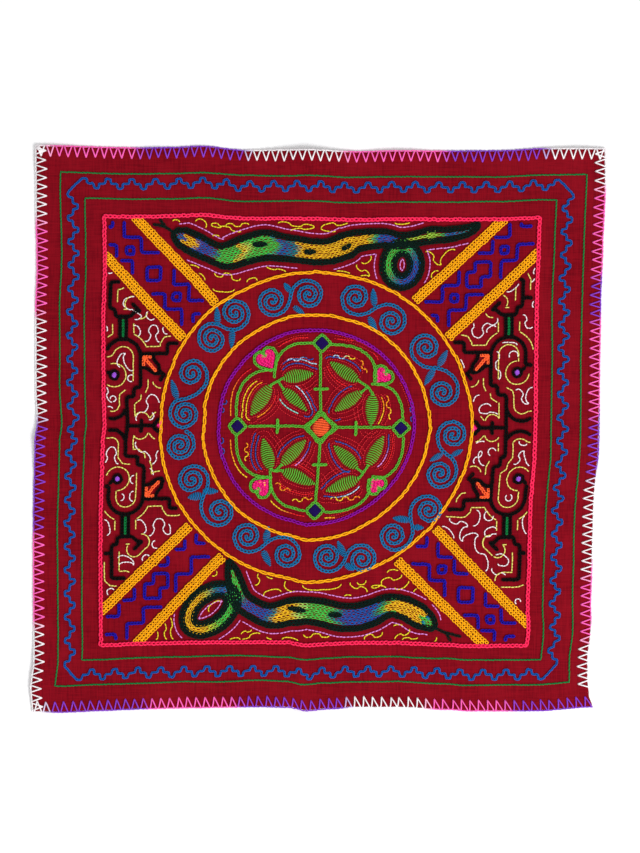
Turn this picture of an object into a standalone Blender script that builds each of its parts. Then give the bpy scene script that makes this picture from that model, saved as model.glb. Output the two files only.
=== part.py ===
"""Square embroidered cotton cloth, laid flat with its face up.

The cloth is one thin sheet with an uneven outline, edges that lift a little and the two
creases of a cloth that was folded in four. What is stitched on it in thick yarn stands
on its face as raised bands: the frame, three rings, eight diagonal bands, a stepped wave
between two fine border lines, and two serpents. A yarn runs round its edge.
Metres, +Z up, +Y towards the top of the design, origin under the middle of the cloth.
"""

import math

import bmesh
import bpy
from mathutils import Matrix, Vector

MM = 0.001

# The cloth
SHEET_THICK = 1.2 * MM
YARN_GAP = 0.3 * MM
CORNERS = {
    "top_left": (-250.7 * MM, 251.2 * MM),
    "top_right": (254.4 * MM, 248.3 * MM),
    "bottom_left": (-253.7 * MM, -251.1 * MM),
    "bottom_right": (243.4 * MM, -246.7 * MM),
}
# How far each edge bows inwards from the straight line between its corners.
# Columns: share of the way along the edge, from left or bottom; inward bow in mm.
BOW_TOP = (
    (0.00, 0.0), (0.18, 1.6), (0.24, 1.0), (0.29, -0.3), (0.37, 3.2), (0.48, 2.6), (0.56, 3.9),
    (0.64, 2.9), (0.72, 2.9), (0.81, 2.2), (0.90, 0.1), (1.00, 0.0),
)
BOW_BOTTOM = (
    (0.00, 0.0), (0.05, -0.7), (0.12, 0.6), (0.20, 1.8), (0.28, 2.4), (0.40, 2.8), (0.455, 2.2),
    (0.49, -1.0), (0.53, 0.4), (0.57, 1.4), (0.65, 1.0), (0.74, -1.2), (0.78, -2.7), (0.90, -3.1),
    (1.00, 0.0),
)
BOW_LEFT = (
    (0.00, 0.0), (0.04, -1.5), (0.09, 1.1), (0.17, 0.6), (0.28, 0.0), (0.35, -0.2), (0.43, 0.4),
    (0.476, 0.9), (0.51, 2.7), (0.57, 1.2), (0.71, 0.7), (0.78, 1.7), (0.91, 0.3), (1.00, 0.0),
)
BOW_RIGHT = (
    (0.00, 0.0), (0.02, 3.1), (0.05, 5.1), (0.085, 5.4), (0.14, 3.2), (0.19, 4.1), (0.28, 3.5),
    (0.35, 3.4), (0.47, 0.2), (0.52, 0.3), (0.64, 0.8), (0.74, 1.1), (0.83, 0.3), (0.94, -0.9),
    (1.00, 0.0),
)

# Where the sheet's underside leaves the surface: round swells at its rim.
# Columns: place across, place up, radius, height; all in mm.
SWELLS = (
    (-11.0, 252.0, 30.0, 4.6),
    (72.0, 250.0, 24.0, 1.8),
    (228.0, 250.0, 30.0, 2.4),
    (-244.0, 250.0, 26.0, 1.6),
    (-11.0, -250.0, 24.0, 2.6),
    (-252.0, -215.0, 26.0, 2.0),
    (-252.0, -10.0, 22.0, 1.8),
    (250.0, -6.0, 22.0, 1.6),
)
CREASE_ACROSS = -9.3 * MM
CREASE_UP = -8.2 * MM
CREASE_HALF_WIDTH = 8.0 * MM
CREASE_HEIGHT = 0.7 * MM
FLAT_HALF = 172.0 * MM
RIM_HALF = 236.0 * MM

# Grid lines of the sheet, closer together where it bends.
RIM_LINES = (250.0, 241.0, 232.0, 222.0, 210.0, 192.0, 172.0)
FIELD_LINES = (140.0, 105.0, 70.0, 40.0)
CREASE_LINES = (22.0, 8.0, 4.0)

# The design is drawn on a straight square of this half side and laid on the uneven cloth.
DESIGN_HALF = 250.0 * MM
# Square lines of the design. Columns: name; left, right, bottom and top, in mm.
SQUARES = {
    "border_line_outer": (-229.0, 234.0, -227.5, 227.5),
    "border_line_inner": (-207.3, 208.0, -205.0, 205.0),
    "frame_band": (-190.6, 194.0, -192.4, 189.3),
}
CORNER_CLEAR = 3.0 * MM
WAVE_HALF = 218.3 * MM
WAVES_PER_SIDE = 21
WAVE_DEPTH = 3.9 * MM
WAVE_FLAT_SHARE = 0.13
RING_MIDDLE = (-1.2 * MM, 2.5 * MM)
RINGS = {"ring_outer": 138.8 * MM, "ring_inner": 100.8 * MM, "ring_purple": 87.1 * MM}
RING_STEPS = 72
BAND_SHARES = (0.5, 0.8)

# Diagonal bands between the outer ring and the frame.
# Columns: name, side of the frame, place along it, ring end across, ring end up; in mm.
BANDS = (
    ("band_left_top_upper", "top", -161.7, -91.7, 111.8),
    ("band_left_top_lower", "left", 152.9, -120.1, 80.3),
    ("band_right_top_upper", "top", 160.5, 86.0, 116.2),
    ("band_right_top_lower", "right", 156.5, 115.9, 83.7),
    ("band_left_bottom_upper", "left", -160.9, -111.5, -88.6),
    ("band_left_bottom_lower", "bottom", -156.5, -81.7, -115.5),
    ("band_right_bottom_upper", "right", -171.8, 109.7, -88.6),
    ("band_right_bottom_lower", "bottom", 153.9, 75.9, -118.8),
)

# Widths and heights of the stitched yarn.
FINE_WIDTH, FINE_HEIGHT = 1.6 * MM, 0.8 * MM
WAVE_WIDTH, WAVE_HEIGHT = 2.8 * MM, 1.1 * MM
CHAIN_WIDTH, CHAIN_HEIGHT = 3.4 * MM, 1.3 * MM
BAND_WIDTH, BAND_HEIGHT = 8.8 * MM, 1.3 * MM
SERPENT_HEIGHT = 1.5 * MM
EDGE_YARN_RADIUS = 0.6 * MM
EDGE_YARN_SIDES = 6
TOP_SHARE = 0.55

# The serpents' middle lines from head to tail. Columns: across, up, half width; in mm.
SERPENT_TOP = (
    (-129.0, 174.5, 2.6), (-122.1, 170.2, 7.6), (-109.1, 162.6, 8.8), (-93.6, 155.6, 8.2),
    (-82.9, 154.0, 10.0), (-68.1, 160.0, 11.3), (-49.8, 164.9, 12.2), (-32.0, 162.8, 10.4),
    (-9.5, 160.0, 9.8), (8.9, 160.4, 9.6), (23.5, 166.1, 10.4), (34.6, 170.6, 8.0),
    (56.5, 172.0, 6.8), (69.8, 169.8, 5.6), (83.1, 171.5, 4.9), (98.8, 174.9, 6.0),
    (114.6, 175.9, 4.9), (130.3, 179.0, 4.0), (141.0, 184.6, 1.2),
)
SERPENT_BOTTOM = (
    (109.6, -177.6, 2.4), (104.5, -173.0, 7.0), (96.2, -167.7, 10.0), (83.7, -161.4, 9.0),
    (69.0, -159.0, 8.4), (53.6, -165.4, 10.0), (39.8, -169.2, 10.8), (26.0, -168.9, 11.0),
    (12.3, -165.1, 10.6), (-4.9, -161.2, 10.2), (-18.7, -164.5, 10.5), (-37.0, -168.6, 9.5),
    (-50.8, -163.9, 8.0), (-63.5, -154.9, 8.2), (-68.6, -141.0, 6.4), (-71.8, -130.2, 5.4),
    (-75.2, -118.6, 1.0),
)
# The loop that hangs on each body. Columns: middle across, middle up, two half axes in mm, tilt in degrees.
LOOP_TOP = (73.2, 148.1, 12.3, 15.6, 0.0)
LOOP_BOTTOM = (-91.9, -163.2, 23.4, 14.0, 38.0)
LOOP_HALF_WIDTH = 5.8 * MM
LOOP_LIFT = 0.1 * MM
LOOP_STEPS = 32

COTTON = ("cotton_red", (0.23, 0.006, 0.016), 0.9)
YARNS = {
    "pink": (0.95, 0.03, 0.12),
    "orange": (0.95, 0.38, 0.01),
    "purple": (0.22, 0.01, 0.30),
    "green": (0.01, 0.16, 0.05),
    "blue": (0.01, 0.08, 0.36),
    "bottle_green": (0.005, 0.03, 0.02),
    "edging": (0.89, 0.12, 0.46),
}
YARN_ROUGHNESS = 0.75


def clear_scene():
    """Removes every object that the file starts with."""
    for obj in list(bpy.data.objects):
        bpy.data.objects.remove(obj)


def material(name, colour, roughness):
    """A Principled material of one colour."""
    made = bpy.data.materials.new(name)
    made.use_nodes = True
    shader = made.node_tree.nodes["Principled BSDF"]
    shader.inputs["Base Color"].default_value = (*colour, 1.0)
    shader.inputs["Roughness"].default_value = roughness
    shader.inputs["Metallic"].default_value = 0.0
    return made


def bow(table, share):
    """Inward bow of an edge at a share of its length, eased between the table's rows."""
    for (start, low), (end, high) in zip(table, table[1:]):
        if share <= end:
            way = max(0.0, (share - start) / (end - start))
            eased = way * way * (3 - 2 * way)
            return (low + (high - low) * eased) * MM
    return table[-1][1] * MM


def edge_point(side, share):
    """A point of one edge of the cloth; share runs left to right or bottom to top."""
    ends = {
        "top": ("top_left", "top_right", BOW_TOP, (0, -1)),
        "bottom": ("bottom_left", "bottom_right", BOW_BOTTOM, (0, 1)),
        "left": ("bottom_left", "top_left", BOW_LEFT, (1, 0)),
        "right": ("bottom_right", "top_right", BOW_RIGHT, (-1, 0)),
    }
    first, last, table, inward = ends[side]
    start, end = Vector(CORNERS[first]), Vector(CORNERS[last])
    return start.lerp(end, share) + Vector(inward) * bow(table, share)


def edges_middle():
    """The middle of the box round the outline, which becomes the origin."""
    shares = [step / 200 for step in range(201)]
    points = [edge_point(side, share) for side in ("top", "bottom", "left", "right") for share in shares]
    across = [point.x for point in points]
    up = [point.y for point in points]
    return Vector(((min(across) + max(across)) / 2, (min(up) + max(up)) / 2))


MIDDLE = edges_middle()


def laid(across, up):
    """Where a point of the straight 500 mm design lies on the uneven cloth."""
    right = (across + DESIGN_HALF) / (2 * DESIGN_HALF)
    high = (up + DESIGN_HALF) / (2 * DESIGN_HALF)
    sides = edge_point("left", high).lerp(edge_point("right", high), right)
    ends = edge_point("bottom", right).lerp(edge_point("top", right), high)
    low_side = Vector(CORNERS["bottom_left"]).lerp(Vector(CORNERS["bottom_right"]), right)
    high_side = Vector(CORNERS["top_left"]).lerp(Vector(CORNERS["top_right"]), right)
    return sides + ends - low_side.lerp(high_side, high) - MIDDLE


def rim_share(across, up):
    """0 over the flat middle of the cloth, rising to 1 at its rim."""
    out = max(abs(across), abs(up))
    way = min(1.0, max(0.0, (out - FLAT_HALF) / (RIM_HALF - FLAT_HALF)))
    return way * way * (3 - 2 * way)


def lift(across, up):
    """Height of the underside over the surface at a point of the design."""
    height = 0.0
    for middle_across, middle_up, radius, top in SWELLS:
        away = math.hypot(across / MM - middle_across, up / MM - middle_up) / radius
        height += top * MM * math.exp(-away * away)
    for off in (across - CREASE_ACROSS, up - CREASE_UP):
        near = max(0.0, 1 - abs(off) / CREASE_HALF_WIDTH)
        height += CREASE_HEIGHT * near
    return height * rim_share(across, up)


def point_on(across, up, above):
    """A point in space over the sheet's underside."""
    flat = laid(across, up)
    return Vector((flat.x, flat.y, lift(across, up) + above))


def grid_lines(crease):
    """Places of the sheet's grid lines across or up, dense at the rim and at the crease."""
    outer = [value * MM for value in RIM_LINES + FIELD_LINES]
    near = [value * MM for value in CREASE_LINES]
    lines = [sign * value for value in outer for sign in (-1, 1)]
    lines += [crease + sign * value for value in near for sign in (-1, 1)] + [crease]
    return sorted(lines)


def finish(name, data, finish_material):
    """Links mesh data as a named object with its material."""
    obj = bpy.data.objects.new(name, data)
    obj.data.materials.append(finish_material)
    bpy.context.scene.collection.objects.link(obj)
    return obj


def mesh_data(name, mesh):
    """Turns a bmesh into mesh data with its faces pointing out, and frees it."""
    data = bpy.data.meshes.new(name)
    bmesh.ops.recalc_face_normals(mesh, faces=mesh.faces)
    mesh.to_mesh(data)
    mesh.free()
    return data


def sheet_object(name, finish_material):
    """The cloth: two layers of one grid, joined round the rim."""
    columns, rows = grid_lines(CREASE_ACROSS), grid_lines(CREASE_UP)
    mesh = bmesh.new()
    layers = []
    for above in (0.0, SHEET_THICK):
        layers.append([[mesh.verts.new(point_on(x, y, above)) for y in rows] for x in columns])
    below, face = layers
    for i in range(len(columns) - 1):
        for j in range(len(rows) - 1):
            mesh.faces.new((face[i][j], face[i + 1][j], face[i + 1][j + 1], face[i][j + 1]))
            mesh.faces.new((below[i][j], below[i][j + 1], below[i + 1][j + 1], below[i + 1][j]))
    last_column, last_row = len(columns) - 1, len(rows) - 1
    rim = [(i, 0) for i in range(last_column)] + [(last_column, j) for j in range(last_row)]
    rim += [(i, last_row) for i in range(last_column, 0, -1)] + [(0, j) for j in range(last_row, 0, -1)]
    for (i, j), (k, m) in zip(rim, rim[1:] + rim[:1]):
        mesh.faces.new((below[i][j], below[k][m], face[k][m], face[i][j]))
    data = mesh_data(name, mesh)
    data.shade_smooth()
    data.set_sharp_from_angle(angle=math.radians(40))
    return finish(name, data, finish_material)


def sideways(points, index, closed):
    """Unit vector across a path at one of its points, lengthened at a corner so that its width stays."""
    count = len(points)
    before = points[index - 1] if closed or index > 0 else points[index]
    after = points[(index + 1) % count] if closed or index < count - 1 else points[index]
    here = points[index]
    into = (here - before).normalized() if (here - before).length > 0 else (after - here).normalized()
    out = (after - here).normalized() if (after - here).length > 0 else into
    along = (into + out).normalized()
    stretch = 1 / max(0.5, along.dot(into))
    return Vector((-along.y, along.x)) * stretch


def raised_mesh(name, path, widths, height, closed, above=SHEET_THICK + YARN_GAP, end_cut=None):
    """A band of yarn with a flat foot and a narrower top, along a path of the design.

    end_cut is the direction of the cut at the last point, where that isn't square to the path.
    """
    points = [Vector(point) for point in path]
    mesh = bmesh.new()
    rings = []
    for index, middle in enumerate(points):
        across = sideways(points, index, closed)
        if end_cut and index == len(points) - 1:
            cut = Vector(end_cut)
            across = cut / cut.dot(across)
        half = widths[index] / 2
        section = ((half, 0.0), (half * TOP_SHARE, height), (-half * TOP_SHARE, height), (-half, 0.0))
        ring = []
        for off, rise in section:
            spot = middle + across * off
            ring.append(mesh.verts.new(point_on(spot.x, spot.y, above + rise)))
        rings.append(ring)
    pairs = list(zip(rings, rings[1:])) + ([(rings[-1], rings[0])] if closed else [])
    for first, second in pairs:
        for k in range(4):
            mesh.faces.new((first[k], first[(k + 1) % 4], second[(k + 1) % 4], second[k]))
    if not closed:
        mesh.faces.new(rings[0][::-1])
        mesh.faces.new(rings[-1])
    return mesh_data(name, mesh)


def even_band(name, path, width, height, finish_material, closed=True, end_cut=None):
    """A raised band of even width."""
    data = raised_mesh(name, path, [width] * len(path), height, closed, end_cut=end_cut)
    return finish(name, data, finish_material)


def square_path(left, right, bottom, top):
    """A square of the design, with its corners and a point wherever the sheet has a grid line."""
    across = [x for x in grid_lines(CREASE_ACROSS) if left + CORNER_CLEAR < x < right - CORNER_CLEAR]
    up = [y for y in grid_lines(CREASE_UP) if bottom + CORNER_CLEAR < y < top - CORNER_CLEAR]
    path = [(left, bottom)] + [(x, bottom) for x in across]
    path += [(right, bottom)] + [(right, y) for y in up]
    path += [(right, top)] + [(x, top) for x in reversed(across)]
    return path + [(left, top)] + [(left, y) for y in reversed(up)]


def wave_path():
    """The wave that runs round the border: crests outwards, troughs inwards, a crest each side of a corner."""
    pitch = 2 * WAVE_HALF / WAVES_PER_SIDE
    side = []
    for half_wave in range(1, 2 * WAVES_PER_SIDE):
        middle = -WAVE_HALF + half_wave * pitch / 2
        depth = WAVE_DEPTH if half_wave % 2 else -WAVE_DEPTH
        side += [(middle - WAVE_FLAT_SHARE * pitch, depth), (middle + WAVE_FLAT_SHARE * pitch, depth)]
    path = []
    for along_x, along_y in ((1, 0), (0, 1), (-1, 0), (0, -1)):
        for along, depth in side:
            out = WAVE_HALF + depth
            path.append((along * along_x + out * along_y, along * along_y - out * along_x))
    return path


def ring_path(radius):
    """A circle of the design round the middle of its rings."""
    steps = [2 * math.pi * step / RING_STEPS for step in range(RING_STEPS)]
    return [(RING_MIDDLE[0] + radius * math.cos(a), RING_MIDDLE[1] + radius * math.sin(a)) for a in steps]


def band_path(side, place, ring_across, ring_up):
    """A diagonal band's middle line, from the ring to the inner edge of the frame, and its cut there."""
    clear = CHAIN_WIDTH / 2 + YARN_GAP
    left, right, bottom, top = (value * MM for value in SQUARES["frame_band"])
    ends = {
        "left": (left + clear, place * MM),
        "right": (right - clear, place * MM),
        "bottom": (place * MM, bottom + clear),
        "top": (place * MM, top - clear),
    }
    cut = (0.0, 1.0) if side in ("left", "right") else (1.0, 0.0)
    start, end = Vector((ring_across * MM, ring_up * MM)), Vector(ends[side])
    return [start] + [start.lerp(end, share) for share in BAND_SHARES] + [end], cut


def serpent_object(name, spine, loop, finish_material):
    """A serpent: a tapering body with a closed loop joined to it."""
    points = [(x * MM, y * MM) for x, y, _ in spine]
    widths = [2 * half * MM for _, _, half in spine]
    body = finish(name, raised_mesh(name, points, widths, SERPENT_HEIGHT, False), finish_material)
    middle, tilt = Vector(loop[:2]) * MM, math.radians(loop[4])
    round_path = []
    for step in range(LOOP_STEPS):
        turn = 2 * math.pi * step / LOOP_STEPS
        spot = Vector((loop[2] * MM * math.cos(turn), loop[3] * MM * math.sin(turn)))
        spot.rotate(Matrix.Rotation(tilt, 2))
        round_path.append(middle + spot)
    ring_data = raised_mesh(
        name + "_loop",
        round_path,
        [2 * LOOP_HALF_WIDTH] * LOOP_STEPS,
        SERPENT_HEIGHT - 2 * LOOP_LIFT,
        True,
        above=SHEET_THICK + YARN_GAP + LOOP_LIFT,
    )
    ring = finish(name + "_loop", ring_data, finish_material)
    ring.hide_render = True
    ring.display_type = "WIRE"
    join = body.modifiers.new("loop", "BOOLEAN")
    join.operation = "UNION"
    join.object = ring
    return body


def edge_yarn_object(name, finish_material):
    """The yarn that the edging stitches carry round the rim, a little outside it."""
    across, up = grid_lines(CREASE_ACROSS), grid_lines(CREASE_UP)
    edge = DESIGN_HALF
    path = [(x, -edge) for x in across] + [(edge, y) for y in up[1:]]
    path += [(x, edge) for x in reversed(across[:-1])] + [(-edge, y) for y in reversed(up[1:-1])]
    points = [laid(x, y) for x, y in path]
    mesh = bmesh.new()
    rings = []
    for index, (x, y) in enumerate(path):
        out = -sideways(points, index, True)
        middle = points[index] + out * (YARN_GAP + EDGE_YARN_RADIUS)
        height = lift(x, y) + SHEET_THICK / 2
        ring = []
        for step in range(EDGE_YARN_SIDES):
            turn = 2 * math.pi * step / EDGE_YARN_SIDES
            side = EDGE_YARN_RADIUS * math.cos(turn)
            rise = EDGE_YARN_RADIUS * math.sin(turn)
            ring.append(mesh.verts.new((middle.x + out.x * side, middle.y + out.y * side, height + rise)))
        rings.append(ring)
    for first, second in zip(rings, rings[1:] + rings[:1]):
        for k in range(EDGE_YARN_SIDES):
            after = (k + 1) % EDGE_YARN_SIDES
            mesh.faces.new((first[k], first[after], second[after], second[k]))
    return finish(name, mesh_data(name, mesh), finish_material)


def build():
    """Makes every piece of the cloth."""
    clear_scene()
    cotton = material(*COTTON)
    yarn = {name: material(f"yarn_{name}", colour, YARN_ROUGHNESS) for name, colour in YARNS.items()}
    sheet_object("cloth", cotton)
    edge_yarn_object("edge_yarn", yarn["edging"])
    for name, width, height, colour in (
        ("border_line_outer", FINE_WIDTH, FINE_HEIGHT, "green"),
        ("border_line_inner", FINE_WIDTH, FINE_HEIGHT, "green"),
        ("frame_band", CHAIN_WIDTH, CHAIN_HEIGHT, "pink"),
    ):
        path = square_path(*(value * MM for value in SQUARES[name]))
        even_band(name, path, width, height, yarn[colour])
    even_band("border_wave", wave_path(), WAVE_WIDTH, WAVE_HEIGHT, yarn["blue"])
    for name, radius in RINGS.items():
        colour = "purple" if name == "ring_purple" else "orange"
        even_band(name, ring_path(radius), CHAIN_WIDTH, CHAIN_HEIGHT, yarn[colour])
    for name, side, place, ring_across, ring_up in BANDS:
        path, cut = band_path(side, place, ring_across, ring_up)
        even_band(name, path, BAND_WIDTH, BAND_HEIGHT, yarn["orange"], closed=False, end_cut=cut)
    serpent_object("serpent_top", SERPENT_TOP, LOOP_TOP, yarn["bottle_green"])
    serpent_object("serpent_bottom", SERPENT_BOTTOM, LOOP_BOTTOM, yarn["bottle_green"])


build()
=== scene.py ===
"""The looks of a square embroidered cotton cloth that lies flat with its face up.

The stitches are worked out in millimetres on a straight square of 500 mm a side. Lay carries that
square onto the uneven cloth, so every row of stitches follows the real outline, the lifted edges and
the fold lines. Each stitch is a closed tube of yarn, and each piece is all the stitches of one row,
figure or colour.
"""

from __future__ import annotations

import logging
import math
from dataclasses import dataclass, field
from enum import Enum
from typing import Sequence

import bpy
import numpy as np
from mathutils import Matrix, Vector

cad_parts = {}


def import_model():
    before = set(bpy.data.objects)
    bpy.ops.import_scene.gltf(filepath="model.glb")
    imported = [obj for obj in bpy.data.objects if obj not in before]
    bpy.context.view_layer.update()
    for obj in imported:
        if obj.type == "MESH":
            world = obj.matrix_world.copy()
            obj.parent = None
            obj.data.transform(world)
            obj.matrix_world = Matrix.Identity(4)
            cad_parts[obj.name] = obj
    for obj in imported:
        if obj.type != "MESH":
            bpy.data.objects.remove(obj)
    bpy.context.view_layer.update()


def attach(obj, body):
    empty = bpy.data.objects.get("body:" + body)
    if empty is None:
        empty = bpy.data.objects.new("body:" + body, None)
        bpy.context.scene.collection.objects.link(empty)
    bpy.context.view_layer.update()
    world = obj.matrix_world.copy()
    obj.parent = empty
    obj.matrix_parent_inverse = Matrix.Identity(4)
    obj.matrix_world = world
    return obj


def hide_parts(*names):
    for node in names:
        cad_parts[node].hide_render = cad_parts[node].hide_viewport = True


MM = 0.001
Array = np.ndarray
Point = tuple[float, float]
Line = Sequence[Point]
log = logging.getLogger("embroidered_cloth")


# Lines of the design


def linear(code: str) -> tuple[float, float, float]:
    """Turns an sRGB hex colour into linear light.

    Args:
        code: Six hex digits.

    Returns:
        Red, green and blue, each from 0 to 1.
    """
    parts = [int(code[place : place + 2], 16) / 255 for place in (0, 2, 4)]
    red, green, blue = (p / 12.92 if p <= 0.04045 else ((p + 0.055) / 1.055) ** 2.4 for p in parts)
    return red, green, blue


def smooth_step(way: Array) -> Array:
    """Eases a way from 0 to 1, flat at both ends."""
    held = np.clip(way, 0.0, 1.0)
    return held * held * (3 - 2 * held)


def run_of(line: Array) -> Array:
    """The distance along a line at each of its points."""
    return np.concatenate(([0.0], np.cumsum(np.linalg.norm(np.diff(line, axis=0), axis=1))))


def at(line: Line | Array, places: Array) -> Array:
    """Points of a line at given distances along it.

    Args:
        line: The line's own points.
        places: Distances from its start, of any shape.

    Returns:
        The points, with one more axis than places.
    """
    points = np.asarray(line, float)
    run = run_of(points)
    return np.stack([np.interp(places, run, points[:, axis]) for axis in (0, 1)], axis=-1)


def spaced(line: Line | Array, count: int, closed: bool = False) -> Array:
    """Points at even distances along a line.

    Args:
        line: The line's own points.
        count: How many points to make.
        closed: Whether the line returns to its start, which isn't repeated.

    Returns:
        An array of count points.
    """
    points = np.asarray(line, float)
    if closed:
        points = np.vstack([points, points[:1]])
    length = run_of(points)[-1]
    return at(points, np.linspace(0.0, length, count, endpoint=not closed))


def eased(points: Line | Array, closed: bool = False, steps: int = 6) -> Array:
    """A soft curve through a few points.

    Args:
        points: The points that the curve passes.
        closed: Whether it returns to the first of them.
        steps: Pieces between two of them.

    Returns:
        The curve's points.
    """
    held = np.asarray(points, float)
    if closed:
        padded = np.vstack([held[-1:], held, held[:2]])
    else:
        padded = np.vstack([2 * held[:1] - held[1:2], held, 2 * held[-1:] - held[-2:-1]])
    before, start, end, after = padded[:-3], padded[1:-2], padded[2:-1], padded[3:]
    way = np.linspace(0.0, 1.0, steps, endpoint=False)[:, None, None]
    curve = 0.5 * (
        2 * start
        + (end - before) * way
        + (2 * before - 5 * start + 4 * end - after) * way**2
        + (3 * start - before - 3 * end + after) * way**3
    )
    curve = curve.transpose(1, 0, 2).reshape(-1, 2)
    return curve if closed else np.vstack([curve, held[-1:]])


def beside(line: Line | Array, distance: float | Array, closed: bool = False) -> Array:
    """A line moved to its left by a distance.

    Args:
        line: The line's points.
        distance: One distance, or one for each point.
        closed: Whether the line returns to its start.

    Returns:
        The moved points.
    """
    points = np.asarray(line, float)
    if closed:
        along = np.roll(points, -1, axis=0) - np.roll(points, 1, axis=0)
    else:
        along = np.gradient(points, axis=0)
    along /= np.linalg.norm(along, axis=1, keepdims=True)
    left = np.column_stack([-along[:, 1], along[:, 0]])
    return points + left * np.reshape(distance, (-1, 1))


def turned(points: Line | Array, degrees: float, middle: Point = (0.0, 0.0)) -> Array:
    """Points turned about the origin and then moved.

    Args:
        points: The points.
        degrees: The turn, anticlockwise.
        middle: Where the origin goes.

    Returns:
        The new points.
    """
    angle = math.radians(degrees)
    spin = np.array([[math.cos(angle), math.sin(angle)], [-math.sin(angle), math.cos(angle)]])
    return np.asarray(points, float) @ spin + middle


def circle(middle: Point, radius: float, start: float = 0.0, sweep: float = 360.0, count: int = 72) -> Array:
    """Points of a circle, or of an arc of it.

    Args:
        middle: The circle's middle.
        radius: Its radius.
        start: Where it starts, in degrees.
        sweep: How far it goes, in degrees. A whole circle doesn't repeat its start.
        count: How many points to make.

    Returns:
        The points.
    """
    angles = np.radians(start + np.linspace(0.0, sweep, count, endpoint=abs(sweep) < 360))
    return np.column_stack([np.cos(angles), np.sin(angles)]) * radius + middle


def leaf_half(width: float, way: Array) -> Array:
    """Half the width of a leaf at shares of the way from its stem to its tip."""
    return (width / 2) * np.sin(math.pi * np.clip(way, 0.0, 1.0) ** 0.8) ** 0.7


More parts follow.
